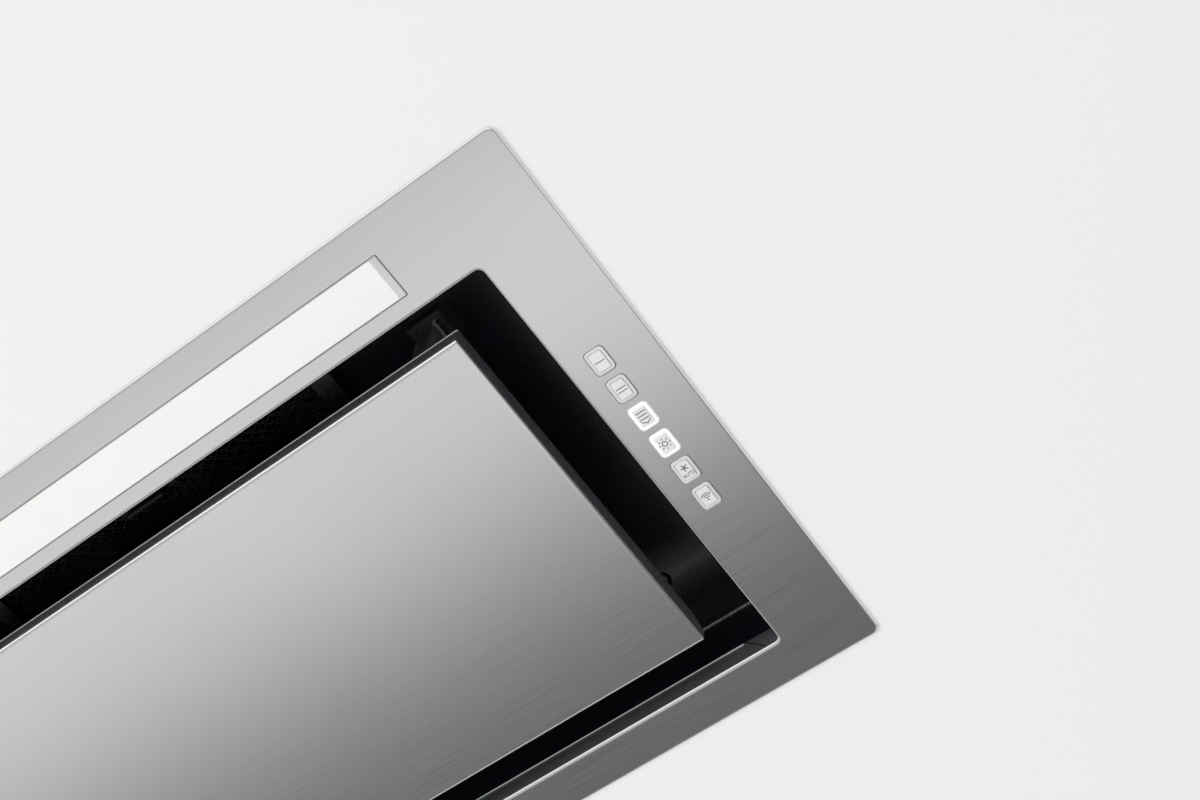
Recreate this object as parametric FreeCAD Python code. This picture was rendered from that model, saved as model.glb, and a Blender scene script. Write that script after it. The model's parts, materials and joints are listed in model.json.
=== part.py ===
import FreeCAD
import Part
import math
import os

from FreeCAD import Vector

# Built-in canopy hood with a perimeter extraction panel, fitted from below into a cut-out.
# X runs to the user's right, Y from the user to the back, Z up. The origin is the middle of
# the seat plane, where the rim of the trim flange meets the underside of the board.

# ---------------------------------------------------------------- trim frame
flange_width = 722.0
flange_depth = 292.0
flange_drop = 2.0            # how far the flange stands below the seat plane
flange_corner = 4.0
trim_sheet = 0.8
side_border = 40.0
front_border = 45.4
back_border = 22.6
fold_radius = 1.2            # outside of the fold between flange and upstand
upstand_height = 13.0        # folded inner side, from the flange's underside
mitre_slit = 0.5             # open joint between the back upstand and the corner piece
mitre_from_corner = 18.7     # where the raw top edge of the back upstand ends
mitre_foot = 8.0             # distance of the slit's lower end from the corner
mitre_foot_height = 1.8
cutout_play = 0.1            # room round the lens and the light frames in the sheet

# ---------------------------------------------------------------- LED strip
lens_length = 580.0
lens_width = 21.6
lens_from_front = 15.7
lens_corner = 0.9            # cut off at each corner
lens_proud = 0.3
lens_ledge = 1.0             # rim of the lens that lies on the sheet
lens_thickness = 2.4
channel_height = 14.0
channel_sheet = 1.0
channel_play = 0.2
led_count = 24
led_size = 3.0
led_board_width = 12.0
led_board_thickness = 1.6
led_board_end_gap = 6.0
led_from_end = 10.0
led_height = 1.0

# ---------------------------------------------------------------- buttons
button_count = 6
button_pitch = 15.92
button_from_side = 24.8
button_row_centre = 1.4
frame_width = 9.7            # light frame round each button, along X
frame_length = 12.5
frame_band = 1.7
frame_corner = 1.1           # cut off at each corner
frame_depth = 2.5            # above the sheet
frame_proud = 0.4
frame_ledge = 0.9
frame_ledge_height = 1.0
cap_proud = 0.7
cap_clearance = 0.12
cap_corner = 0.6
cap_chamfer = 0.3
cap_collar_inset = 0.6
cap_collar_height = 1.2
stem_width = 3.0
button_travel = 0.8
fit_gap = 0.3                # clearance between pieces that move past each other
board_thickness = 1.6
carrier_wall = 1.5
carrier_side = 4.0            # from the light frames to the carrier's outside
carrier_end = 6.0
carrier_height = 10.2
switch_size = 6.0
switch_height = 3.5
plunger_height = 1.0
plunger_width = 3.4

# ---------------------------------------------------------------- panel
slot_front = 19.1
slot_back = 19.6
slot_side = 27.5
panel_height = 11.5
panel_sheet = 1.0
panel_bend = 1.6
panel_cut = 4.0              # slanted cut in the skirt at the two back corners
stiffener_width = 34.0
stiffener_height = 7.0
stiffener_inset = 52.0
stiffener_lip = 8.0
stiffener_end_gap = 25.0      # from the hinge's middle
hinge_from_end = 43.5
hinge_from_back = 11.0
hinge_height = 16.0          # pivot above the panel's face
hinge_pin_radius = 2.0
hinge_pin_clearance = 0.08
hinge_arm_sheet = 2.0
hinge_arm_radius = 6.0
arm_foot_front = 26.0
arm_foot_back = 7.0
arm_foot_side = 16.0
cheek_sheet = 1.5
cheek_front = 7.0
cheek_back = 4.0
cheek_gap = 0.4
bracket_ear = 10.0
pin_end = 1.0                # how far the pin stands out of its bracket
post_from_end = 23.0
post_width = 8.0
post_sheet = 1.5
post_foot = 14.0
magnet_gap = 0.3
magnet_height = 4.0
magnet_width = 12.0
holder_height = 9.0
holder_width = 18.0

# ---------------------------------------------------------------- canopy box
canopy_sheet = 1.0
canopy_side_gap = 11.0       # how far the flange covers the cut-out's edge
canopy_front_gap = 12.5
ceiling_height = 55.0        # underside of the ceiling above the seat plane
duct_opening_inset = 10.0    # from the casing's sides, and from the cassettes' ends
tab_depth = 8.0
tab_width = 24.0
stud_side_y = 100.0
stud_back_x = 150.0
stud_inset = 4.2             # from the inner face of the canopy's wall
stud_flats = 4.0
stud_height = 9.0
nut_flats = 7.0
nut_height = 3.2
fixing_hole_radius = 2.25
fixing_hole_height = 9.0
fixing_hole_y = 60.0
clip_y = 95.0
clip_width = 24.0
clip_bulge = 7.0
clip_sheet = 0.8
clip_from_top = 5.0
clip_plate = 12.0
clip_knee = 26.0
clip_length = 34.0
clip_end_bulge = 2.0

# ---------------------------------------------------------------- grease filters
filter_from_bracket = 17.1    # free end of a cassette to the hinge bracket
filter_from_wall = 21.5      # from the canopy's outside, in front and behind
filter_height = 9.0
filter_gap = 2.0             # between the two cassettes
filter_bar = 10.5
filter_sheet = 1.0
filter_corner = 2.5
latch_width = 34.0
latch_length = 24.0
latch_sheet = 2.0
latch_tongue = 12.0
latch_reach = 6.0            # how far the tongue stands past the cassette
latch_travel = 5.0
latch_pull = 7.0
latch_pull_inset = 6.0
latch_pull_sheet = 1.5
latch_start = 1.0            # from the cassette's end to the slide's plate
latch_rail_sheet = 1.5
latch_rail_lip = 3.0
latch_rail_short = 4.0
rail_sheet = 1.0
rail_lip = 6.0
rail_foot = 9.0
keeper_gap = 1.5             # between the tongues' ends and the keeper
keeper_lip_gap = 1.0         # the pulled tongue clears the keeper's lip by this

# ---------------------------------------------------------------- blower
casing_width = 436.0
casing_room = 3.0            # room between the blower and the casing
casing_sheet = 1.0
lid_play = 0.2
casing_flange = 10.0
casing_screw_x = 150.0
lid_skirt = 12.0
lid_screw_x = 160.0
lid_screw_drop = 6.0
impeller_radius = 70.0
impeller_width = 106.0
blade_inner_radius = 58.0
blade_count = 22
blade_sheet = 1.1
blade_twist = 9.0            # degrees from a blade's inner to its outer edge
blade_bulge = 1.6
ring_width = 3.0
ring_overlap = 0.8           # the rings stand this far past the blades
disc_sheet = 2.0
hub_end = 3.0                # hub on the motor's side of the disc
hub_radius = 12.0
scroll_gap = 5.0             # least room between impeller and scroll
scroll_step = 10.0           # growth of the scroll in each quarter turn
scroll_sheet = 2.0
scroll_side_gap = 3.0
tongue_angle = 68.0
mouth_rise = 2.0             # mouth above the top of the spiral
scroll_floor_gap = 8.0
axis_y = -28.0
inlet_radius = 52.0
duct_height = 22.0
motor_radius = 40.0
motor_start = 9.0
shaft_radius = 4.0
shaft_clearance = 0.06
shaft_end_gap = 6.0
shaft_tip = 2.0              # shaft past the hub
mount_radius = 5.0
mount_height = 6.0
mount_circle = 61.0
mount_count = 3
arm_width = 12.0
bracket_sheet = 2.0
bracket_flats = 50.0

# ---------------------------------------------------------------- outlet
outlet_radius = 75.0         # outside of the collar, for a 150 mm duct
outlet_shift = 4.0           # outlet centre in front of the mouth's middle
collar_wall = 2.2
collar_height = 48.0
collar_flange = 6.0
collar_screw_inset = 9.0     # from the flange's edges
collar_flange_height = 3.0
flap_height = 20.0           # flap axis above the lid
flap_sheet = 1.5
flap_pin_radius = 1.5
flap_pin_clearance = 0.07
knuckle_radius = 3.4
knuckle_length = 30.0
knuckle_start = 12.0         # from the middle of the collar
flap_start = 5.0
flap_edge_gap = 0.8
stop_width = 12.0
stop_reach = 3.0
stop_height = 2.0

# ---------------------------------------------------------------- electrics
box_gap = 6.0                # between casing flange and electronics box
box_width = 72.0
box_from_wall = 21.5         # from the canopy's outside, in front and behind
box_height = 40.0
box_sheet = 1.0
cover_skirt = 8.0
cover_play = 0.2
ceiling_screw_inset = 42.4   # from the box's inner side
ceiling_screw_from_end = 15.2
gland_y = 60.0
gland_radius = 8.0
gland_bore = 4.0
gland_length = 20.0
gland_flats = 20.0
gland_nut = 5.0
driver_x = -276.0
driver_width = 60.0
driver_depth = 100.0
driver_height = 22.0
driver_edge = 1.5
driver_ear = 12.0
driver_ear_width = 20.0
driver_ear_sheet = 2.5
screw_flats = 3.2            # threaded shanks are drawn six-sided
screw_point = 2.5            # how far a screw's point stands out of the sheet
screw_head_flats = 6.0
screw_head_height = 2.2
ceiling_screw_head = 4.7
lead_radius = 3.0
lead_y = 40.0
lead_end = 12.0              # how far the lead reaches into casing and box
board_from_side = 8.0
board_from_floor = 6.0
board_length = 80.0
board_gap = 2.0              # between the board and the run capacitor
board_post = 5.0
relay_width = 15.0
relay_depth = 12.0
relay_height = 15.0
relay_pitch = 16.0
relay_count = 3
transformer_width = 26.0
transformer_depth = 26.0
transformer_height = 20.0
board_capacitor_radius = 5.0
board_capacitor_from_end = 15.0
board_capacitor_height = 14.0
terminal_width = 36.0
terminal_depth = 18.0
terminal_height = 16.0
terminal_inset = 14.0
terminal_step = 5.0
terminal_step_depth = 6.0
terminal_pole = 4.0
terminal_pitch = 11.0
terminal_count = 3
capacitor_width = 26.0
capacitor_length = 48.0
capacitor_height = 30.0
capacitor_inset = 9.0        # from the box's inner side
capacitor_from_end = 12.0
capacitor_edge = 1.5

# ---------------------------------------------------------------- worked out from the above
underside = -flange_drop
sheet_top = underside + trim_sheet
half_width = flange_width / 2
half_depth = flange_depth / 2
opening_x = half_width - side_border
opening_front = -half_depth + front_border
opening_back = half_depth - back_border
panel_x = opening_x - slot_side
panel_front = opening_front + slot_front
panel_back = opening_back - slot_back
panel_top = underside + panel_height
panel_floor = underside + panel_sheet
hinge_x = panel_x - hinge_from_end
cheek_offset = hinge_arm_sheet / 2 + cheek_gap
bracket_reach = cheek_offset + cheek_sheet
filter_width = (hinge_x - bracket_reach - bracket_ear - filter_from_bracket
                - filter_gap / 2)
post_x = panel_x - post_from_end
pivot_y = panel_back - hinge_from_back
pivot_z = underside + hinge_height
canopy_x = half_width - canopy_side_gap
canopy_y = half_depth - canopy_front_gap
canopy_top = ceiling_height + canopy_sheet
lens_front = -half_depth + lens_from_front
lens_back = lens_front + lens_width
button_x = half_width - button_from_side
filter_bottom = ceiling_height - filter_height
filter_y = canopy_y - filter_from_wall
tongue_turn = math.radians(tongue_angle)
scroll_base = impeller_radius + scroll_gap - scroll_step / 2 * (
    math.sin(tongue_turn) - math.cos(tongue_turn))
scroll_inside = impeller_width / 2 + scroll_side_gap
scroll_outside = scroll_inside + scroll_sheet
axis_z = canopy_top + scroll_floor_gap + scroll_base + 2.5 * scroll_step + scroll_sheet
mouth_front = axis_y - scroll_step / 2 + scroll_base * math.cos(tongue_turn)
mouth_back = axis_y + scroll_base + 3.5 * scroll_step
mouth_z = axis_z + scroll_base + scroll_step / 2 + scroll_sheet + mouth_rise
lid_bottom = mouth_z + duct_height
outlet_y = (mouth_front + mouth_back) / 2 - outlet_shift
casing_x = casing_width / 2
casing_front = axis_y - scroll_base - 1.5 * scroll_step - scroll_sheet - casing_room
casing_back = outlet_y + outlet_radius + collar_flange + casing_sheet
collar_half = outlet_radius + collar_flange
collar_screw = collar_half - collar_screw_inset
lid_top = lid_bottom + casing_sheet
collar_bore = outlet_radius - collar_wall
flap_z = lid_top + flap_height
box_top = canopy_top + box_height
gland_z = canopy_top + box_height / 2
lead_z = canopy_top + box_height / 2
box_start = casing_x + casing_flange + box_gap
box_end = box_start + box_width
carrier_top = sheet_top + carrier_height
carrier_x0 = button_x - frame_width / 2 - carrier_side
carrier_x1 = button_x + frame_width / 2 + carrier_side
button_row_half = (button_count - 1) * button_pitch / 2
carrier_y0 = button_row_centre - button_row_half - frame_length / 2 - carrier_end
carrier_y1 = button_row_centre + button_row_half + frame_length / 2 + carrier_end
frame_top = sheet_top + frame_depth
box_y = canopy_y - box_from_wall
box_floor = canopy_top + box_sheet
board_front = -box_y + capacitor_from_end + capacitor_length + board_gap
board_back = board_front + board_length
ceiling_screw_y = box_y - ceiling_screw_from_end
ceiling_screw_x = box_start + ceiling_screw_inset
magnet_bottom = ceiling_height - holder_height
latch_top = filter_bottom - fit_gap
latch_bottom = latch_top - latch_sheet
motor_end = scroll_outside + mount_height

X = Vector(1, 0, 0)
Y = Vector(0, 1, 0)
Z = Vector(0, 0, 1)


# ---------------------------------------------------------------- small tools
def box(x0, x1, y0, y1, z0, z1):
    return Part.makeBox(x1 - x0, y1 - y0, z1 - z0, Vector(x0, y0, z0))


def cylinder(radius, start, length, axis=Z):
    return Part.makeCylinder(radius, length, start, axis)


def tube(outer, inner, start, length, axis=Z):
    return cylinder(outer, start, length, axis).cut(cylinder(inner, start, length, axis))


def rounded(x0, x1, y0, y1, z0, z1, radius):
    """Upright block with rounded vertical edges."""
    corners = [(x0, y0, 180), (x1, y0, 270), (x1, y1, 0), (x0, y1, 90)]
    edges = []
    last = None
    first = None
    for x, y, angle in corners:
        cx = x + radius if x == x0 else x - radius
        cy = y + radius if y == y0 else y - radius
        points = []
        for step in (0, 45, 90):
            turn = math.radians(angle + step)
            points.append(Vector(cx + radius * math.cos(turn), cy + radius * math.sin(turn), z0))
        if last is not None:
            edges.append(Part.LineSegment(last, points[0]).toShape())
        else:
            first = points[0]
        edges.append(Part.Arc(points[0], points[1], points[2]).toShape())
        last = points[2]
    edges.append(Part.LineSegment(last, first).toShape())
    return Part.Face(Part.Wire(edges)).extrude(Vector(0, 0, z1 - z0))


def clipped(x0, x1, y0, y1, z0, z1, cut):
    """Upright block with its four corners cut off."""
    outline = [(x0 + cut, y0), (x1 - cut, y0), (x1, y0 + cut), (x1, y1 - cut),
               (x1 - cut, y1), (x0 + cut, y1), (x0, y1 - cut), (x0, y0 + cut)]
    return prism([Vector(x, y, z0) for x, y in outline], Vector(0, 0, z1 - z0))


def prism(points, direction):
    wire = Part.makePolygon(points + [points[0]])
    return Part.Face(wire).extrude(direction)


def fuse(shapes):
    return shapes[0].multiFuse(shapes[1:]).removeSplitter()


def mirror_x(shape):
    return shape.mirror(Vector(0, 0, 0), X)


def edges_at(shape, height):
    """Edges that lie flat at one height."""
    found = []
    for edge in shape.Edges:
        limits = edge.BoundBox
        if abs(limits.ZMin - height) < 0.001 and abs(limits.ZMax - height) < 0.001:
            found.append(edge)
    return found


def hexagon(flats, start, length, axis=Z):
    """Six-sided bar with one flat facing along the second axis."""
    side = Y if axis.dot(Y) == 0 else Z
    other = axis.cross(side)
    points = []
    for k in range(6):
        turn = math.radians(60 * k)
        reach = flats / math.sqrt(3)
        points.append(start + other * (reach * math.cos(turn)) + side * (reach * math.sin(turn)))
    return prism(points, axis * length)


def shank(start, length, axis=Z):
    return hexagon(screw_flats, start, length, axis)


def hex_screw(seat, axis, length):
    """Hexagon screw: seat is the middle of the head's lower face, axis points into the work."""
    head = hexagon(screw_head_flats, seat, screw_head_height, axis * -1)
    return fuse([head, shank(seat, length, axis)])


def round_screw(seat, axis, length, head_radius):
    """Round head screw; seat and axis as for the hexagon screw."""
    head = cylinder(head_radius, seat, screw_head_height, axis * -1)
    return fuse([head, shank(seat, length, axis)])


def save(name, *solids):
    pieces = []
    for solid in solids:
        pieces.extend(solid.Solids)
    shape = pieces[0] if len(pieces) == 1 else Part.makeCompound(pieces)
    shape.exportStep("parts/" + name + ".step")


# ---------------------------------------------------------------- trim frame and its studs
def button_places():
    first = button_row_centre - button_row_half
    return [first + i * button_pitch for i in range(button_count)]


def button_block(y, grow, z0, z1, cut):
    """Block of a light frame's outline, grown on every side."""
    return clipped(button_x - frame_width / 2 - grow, button_x + frame_width / 2 + grow,
                   y - frame_length / 2 - grow, y + frame_length / 2 + grow, z0, z1, cut)


def lens_block(grow, z0, z1):
    return clipped(-lens_length / 2 - grow, lens_length / 2 + grow, lens_front - grow,
                   lens_back + grow, z0, z1, lens_corner)


def opening_block(grow, z0, z1):
    return box(-opening_x - grow, opening_x + grow, opening_front - grow, opening_back + grow,
               z0, z1)


def mitre_cut(side):
    """Slanted open joint in the upstand at one back corner."""
    corner = side * opening_x
    y0 = opening_back - 0.5 * trim_sheet
    top = corner - side * mitre_from_corner
    foot = corner - side * mitre_foot
    foot_z = underside + mitre_foot_height
    top_z = underside + upstand_height
    width = side * mitre_slit
    return prism([Vector(top, y0, top_z), Vector(top + width, y0, top_z),
                  Vector(foot + width, y0, foot_z), Vector(foot, y0, foot_z)],
                 Vector(0, 2 * trim_sheet, 0))


def trim_frame():
    plate = rounded(-half_width, half_width, -half_depth, half_depth, underside, sheet_top,
                    flange_corner)
    rim = rounded(-half_width, half_width, -half_depth, half_depth, underside, 0, flange_corner)
    rim = rim.cut(box(-half_width + trim_sheet, half_width - trim_sheet,
                      -half_depth + trim_sheet, half_depth - trim_sheet, underside, 0))
    upstand = opening_block(trim_sheet, underside, underside + upstand_height)
    body = fuse([plate, rim, upstand])
    body = body.cut(opening_block(0, underside, underside + upstand_height))
    body = body.makeFillet(fold_radius, opening_edges(body))
    cuts = [lens_block(0, underside, sheet_top), mitre_cut(1), mitre_cut(-1)]
    for y in button_places():
        cuts.append(button_block(y, cutout_play, underside, sheet_top, frame_corner))
    return body.cut(cuts)


def opening_edges(body):
    """Edges of the flange's face round its opening."""
    found = []
    for edge in edges_at(body, underside):
        middle = edge.CenterOfMass
        if abs(middle.x) < opening_x + trim_sheet and (
                opening_front - trim_sheet < middle.y < opening_back + trim_sheet):
            found.append(edge)
    return found


def stud_places():
    side = canopy_x - canopy_sheet - stud_inset
    back = canopy_y - canopy_sheet - stud_inset
    places = [(sign * side, y, "side") for sign in (-1, 1) for y in (-stud_side_y, stud_side_y)]
    return places + [(-stud_back_x, back, "back"), (stud_back_x, back, "back")]


def frame_studs():
    return [hexagon(stud_flats, Vector(x, y, sheet_top), stud_height)
            for x, y, _ in stud_places()]


def stud_nuts():
    nuts = []
    for x, y, _ in stud_places():
        base = Vector(x, y, sheet_top + canopy_sheet)
        nut = hexagon(nut_flats, base, nut_height)
        nuts.append(nut.cut(hexagon(stud_flats, base, nut_height)))
    return nuts


# ---------------------------------------------------------------- canopy box
def casing_screw_places():
    places = []
    for x in (-casing_screw_x, casing_screw_x):
        places.append((x, casing_front - casing_flange / 2))
        places.append((x, casing_back + casing_flange / 2))
    return places


def ceiling_screw_places():
    return [(ceiling_screw_x, -ceiling_screw_y), (ceiling_screw_x, ceiling_screw_y)]


def driver_screw_places():
    reach = (driver_depth + driver_ear) / 2
    return [(driver_x, -reach), (driver_x, reach)]


def canopy_box():
    body = box(-canopy_x, canopy_x, -canopy_y, canopy_y, sheet_top, canopy_top)
    wall_x = canopy_x - canopy_sheet
    wall_y = canopy_y - canopy_sheet
    body = body.cut(box(-wall_x, wall_x, -wall_y, wall_y, sheet_top, ceiling_height))
    tab_top = sheet_top + canopy_sheet
    tabs = []
    for x, y, place in stud_places():
        if place == "side":
            near = math.copysign(wall_x, x)
            far = near - math.copysign(tab_depth, x)
            tabs.append(box(min(near, far), max(near, far), y - tab_width / 2,
                            y + tab_width / 2, sheet_top, tab_top))
        else:
            tabs.append(box(x - tab_width / 2, x + tab_width / 2, wall_y - tab_depth, wall_y,
                            sheet_top, tab_top))
    body = fuse([body] + tabs)
    duct_x = casing_x - duct_opening_inset
    duct_y = filter_y - duct_opening_inset
    cuts = [box(-duct_x, duct_x, -duct_y, duct_y, ceiling_height, canopy_top)]
    for x, y, _ in stud_places():
        cuts.append(hexagon(stud_flats, Vector(x, y, sheet_top), canopy_sheet))
    for x, y in casing_screw_places() + ceiling_screw_places() + driver_screw_places():
        cuts.append(shank(Vector(x, y, ceiling_height), canopy_sheet))
    for x in (-canopy_x, wall_x):
        for y in (-fixing_hole_y, fixing_hole_y):
            cuts.append(cylinder(fixing_hole_radius, Vector(x, y, fixing_hole_height),
                                 canopy_sheet, X))
    return body.cut(cuts)


def side_clips():
    """Sprung clips that hold the hood in the cut-out until it is screwed in place."""
    clips = []
    top = ceiling_height - clip_from_top
    profile = [(0, top), (0, top - clip_plate), (clip_bulge, top - clip_knee),
               (clip_end_bulge, top - clip_length)]
    for y in (-clip_y, clip_y):
        outline = [Vector(canopy_x + out, y - clip_width / 2, z) for out, z in profile]
        back = [Vector(canopy_x + out + clip_sheet, y - clip_width / 2, z)
                for out, z in reversed(profile)]
        clip = prism(outline + back, Vector(0, clip_width, 0))
        clips += [clip, mirror_x(clip)]
    return clips


# ---------------------------------------------------------------- LED strip
def led_lens():
    inset = lens_block(-cutout_play, underside - lens_proud, sheet_top)
    rim_top = sheet_top + lens_thickness - trim_sheet
    rim = box(-lens_length / 2 - lens_ledge, lens_length / 2 + lens_ledge,
              lens_front - lens_ledge, lens_back + lens_ledge, sheet_top, rim_top)
    return fuse([inset, rim])


def led_channel():
    outside = lens_ledge + channel_play
    x = lens_length / 2 + outside + channel_sheet
    y0 = lens_front - outside - channel_sheet
    y1 = lens_back + outside + channel_sheet
    top = sheet_top + channel_height
    body = box(-x, x, y0, y1, sheet_top, top)
    return body.cut(box(-x + channel_sheet, x - channel_sheet, y0 + channel_sheet,
                        y1 - channel_sheet, sheet_top, top - channel_sheet))


def led_board():
    top = sheet_top + channel_height - channel_sheet
    bottom = top - led_board_thickness
    middle = (lens_front + lens_back) / 2
    end = lens_length / 2 - led_board_end_gap
    board = box(-end, end, middle - led_board_width / 2, middle + led_board_width / 2,
                bottom, top)
    first = -end + led_from_end
    pitch = -2 * first / (led_count - 1)
    half = led_size / 2
    leds = [box(first + i * pitch - half, first + i * pitch + half, middle - half,
                middle + half, bottom - led_height, bottom) for i in range(led_count)]
    return fuse([board] + leds)


def led_driver():
    half = driver_width / 2
    top = canopy_top + driver_height
    case = box(driver_x - half, driver_x + half, -driver_depth / 2, driver_depth / 2,
               canopy_top, top)
    case = case.makeChamfer(driver_edge, edges_at(case, top))
    reach = driver_depth / 2 + driver_ear
    ears = clipped(driver_x - driver_ear_width / 2, driver_x + driver_ear_width / 2, -reach,
                   reach, canopy_top, canopy_top + driver_ear_sheet, driver_edge)
    holes = [shank(Vector(x, y, canopy_top), driver_ear_sheet)
             for x, y in driver_screw_places()]
    return fuse([case, ears]).cut(holes)


# ---------------------------------------------------------------- buttons
def light_frames():
    frames = []
    wide = frame_width / 2 + frame_ledge
    long = frame_length / 2 + frame_ledge
    for y in button_places():
        body = button_block(y, 0, underside - frame_proud, frame_top, frame_corner)
        ledge = box(button_x - wide, button_x + wide, y - long, y + long, sheet_top,
                    sheet_top + frame_ledge_height)
        bore = button_block(y, -frame_band, underside - frame_proud, frame_top, cap_corner)
        frames.append(fuse([body, ledge]).cut(bore))
    return frames


def button_cap(y):
    face = underside - cap_proud
    shoulder = frame_top + fit_gap
    collar_top = shoulder + cap_collar_height
    body = button_block(y, -frame_band - cap_clearance, face, shoulder, cap_corner)
    body = body.makeChamfer(cap_chamfer, edges_at(body, face))
    wide = frame_width / 2 - cap_collar_inset
    long = frame_length / 2 - cap_collar_inset
    collar = box(button_x - wide, button_x + wide, y - long, y + long, shoulder, collar_top)
    half = stem_width / 2
    stem = box(button_x - half, button_x + half, y - half, y + half, collar_top, stem_height())
    return fuse([body, collar, stem])


def stem_height():
    """Top of a button's stem: its travel and a clearance below the switch plunger."""
    return carrier_top - switch_height - plunger_height - button_travel - fit_gap


def button_carrier():
    body = box(carrier_x0, carrier_x1, carrier_y0, carrier_y1, sheet_top, carrier_top)
    x0 = carrier_x0 + carrier_wall
    x1 = carrier_x1 - carrier_wall
    y0 = carrier_y0 + carrier_wall
    y1 = carrier_y1 - carrier_wall
    floor = sheet_top + frame_ledge_height
    cuts = [box(x0, x1, y0, y1, frame_top, carrier_top), box(x0, x1, y0, y1, sheet_top, floor)]
    for y in button_places():
        cuts.append(button_block(y, cutout_play, floor, frame_top, frame_corner))
    return body.cut(cuts)


def control_board():
    return box(carrier_x0, carrier_x1, carrier_y0, carrier_y1, carrier_top,
               carrier_top + board_thickness)


def tact_switches():
    switches = []
    half = switch_size / 2
    tip = plunger_width / 2
    bottom = carrier_top - switch_height
    for y in button_places():
        case = box(button_x - half, button_x + half, y - half, y + half, bottom, carrier_top)
        plunger = box(button_x - tip, button_x + tip, y - tip, y + tip,
                      bottom - plunger_height, bottom)
        switches.append(fuse([case, plunger]))
    return switches


# ---------------------------------------------------------------- panel
def panel_tray():
    body = box(-panel_x, panel_x, panel_front, panel_back, underside, panel_top)
    body = body.makeFillet(panel_bend, edges_at(body, underside))
    inner = box(-panel_x + panel_sheet, panel_x - panel_sheet, panel_front + panel_sheet,
                panel_back - panel_sheet, panel_floor, panel_top)
    inner = inner.makeFillet(panel_bend - 0.6 * panel_sheet, edges_at(inner, panel_floor))
    body = body.cut(inner)
    corner = prism([Vector(panel_x, panel_back, panel_top),
                    Vector(panel_x, panel_back - 2 * panel_cut, panel_top),
                    Vector(panel_x, panel_back, panel_top - panel_cut)],
                   Vector(-panel_cut, 0, 0))
    return body.cut([corner, mirror_x(corner)])


def panel_stiffeners():
    """Two top hat sections along the panel."""
    hats = []
    end = hinge_x - stiffener_end_gap
    half = stiffener_width / 2
    side = half - stiffener_lip
    top = panel_floor + stiffener_height
    for y in (panel_front + stiffener_inset, panel_back - stiffener_inset):
        body = box(-end, end, y - half, y + half, panel_floor, panel_floor + panel_sheet)
        crown = box(-end, end, y - side, y + side, panel_floor, top)
        hollow = box(-end, end, y - side + panel_sheet, y + side - panel_sheet,
                     panel_floor, top - panel_sheet)
        hats.append(fuse([body, crown]).cut(hollow))
    return hats


def hinge_arm(x):
    """Folded foot on the panel and an upright ear round the hinge pin."""
    left = x - hinge_arm_sheet / 2
    front = pivot_y - arm_foot_front
    back = pivot_y + arm_foot_back
    foot = box(left, x + arm_foot_side, front, back, panel_floor, panel_floor + hinge_arm_sheet)
    ear = prism([Vector(left, front, panel_floor), Vector(left, back, panel_floor),
                 Vector(left, pivot_y + hinge_arm_radius, pivot_z),
                 Vector(left, pivot_y - hinge_arm_radius, pivot_z)],
                Vector(hinge_arm_sheet, 0, 0))
    eye_start = Vector(left, pivot_y, pivot_z)
    eye = cylinder(hinge_arm_radius, eye_start, hinge_arm_sheet, X)
    bore = hinge_pin_radius + hinge_pin_clearance
    return fuse([foot, ear, eye]).cut(cylinder(bore, eye_start, hinge_arm_sheet, X))


def hinge_bracket(x):
    """Clevis that hangs from the ceiling and holds the hinge pin."""
    front = pivot_y - cheek_front
    back = pivot_y + cheek_back
    low = pivot_z - cheek_back
    plate_bottom = ceiling_height - cheek_sheet
    pieces = [box(x - bracket_reach - bracket_ear, x + bracket_reach + bracket_ear, front, back,
                  plate_bottom, ceiling_height)]
    for left in (x - bracket_reach, x + cheek_offset):
        outline = [Vector(left, front, ceiling_height), Vector(left, front, pivot_z),
                   Vector(left, front + cheek_back, low), Vector(left, back, low),
                   Vector(left, back, ceiling_height)]
        pieces.append(prism(outline, Vector(cheek_sheet, 0, 0)))
    hole = cylinder(hinge_pin_radius, Vector(x - bracket_reach, pivot_y, pivot_z),
                    2 * bracket_reach, X)
    return fuse(pieces).cut(hole)


def hinge_pin(x):
    reach = bracket_reach + pin_end
    return cylinder(hinge_pin_radius, Vector(x - reach, pivot_y, pivot_z), 2 * reach, X)


def catch_post(x):
    """Upright strip folded to a foot on the panel and to a strike plate under the magnet."""
    half = post_width / 2
    front = panel_front + panel_sheet + fit_gap
    back = front + post_foot
    top = magnet_bottom - magnet_gap
    outline = [Vector(x - half, front, top), Vector(x - half, back, top),
               Vector(x - half, back, top - post_sheet),
               Vector(x - half, front + post_sheet, top - post_sheet),
               Vector(x - half, front + post_sheet, panel_floor + post_sheet),
               Vector(x - half, back, panel_floor + post_sheet),
               Vector(x - half, back, panel_floor),
               Vector(x - half, front + panel_bend, panel_floor),
               Vector(x - half, front, panel_floor + panel_bend)]
    return prism(outline, Vector(post_width, 0, 0))


def magnet_block(x, grow, z0, z1):
    """Block round the magnet over a catch post, grown on every side."""
    front = panel_front + panel_sheet + fit_gap
    half = magnet_width / 2 + grow
    return box(x - half, x + half, front - grow, front + magnet_width + grow, z0, z1)


def magnet_holder(x):
    body = magnet_block(x, (holder_width - magnet_width) / 2, magnet_bottom, ceiling_height)
    return body.cut(magnet_block(x, 0, magnet_bottom, magnet_bottom + magnet_height))


def catch_magnet(x):
    return magnet_block(x, 0, magnet_bottom, magnet_bottom + magnet_height)


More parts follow.
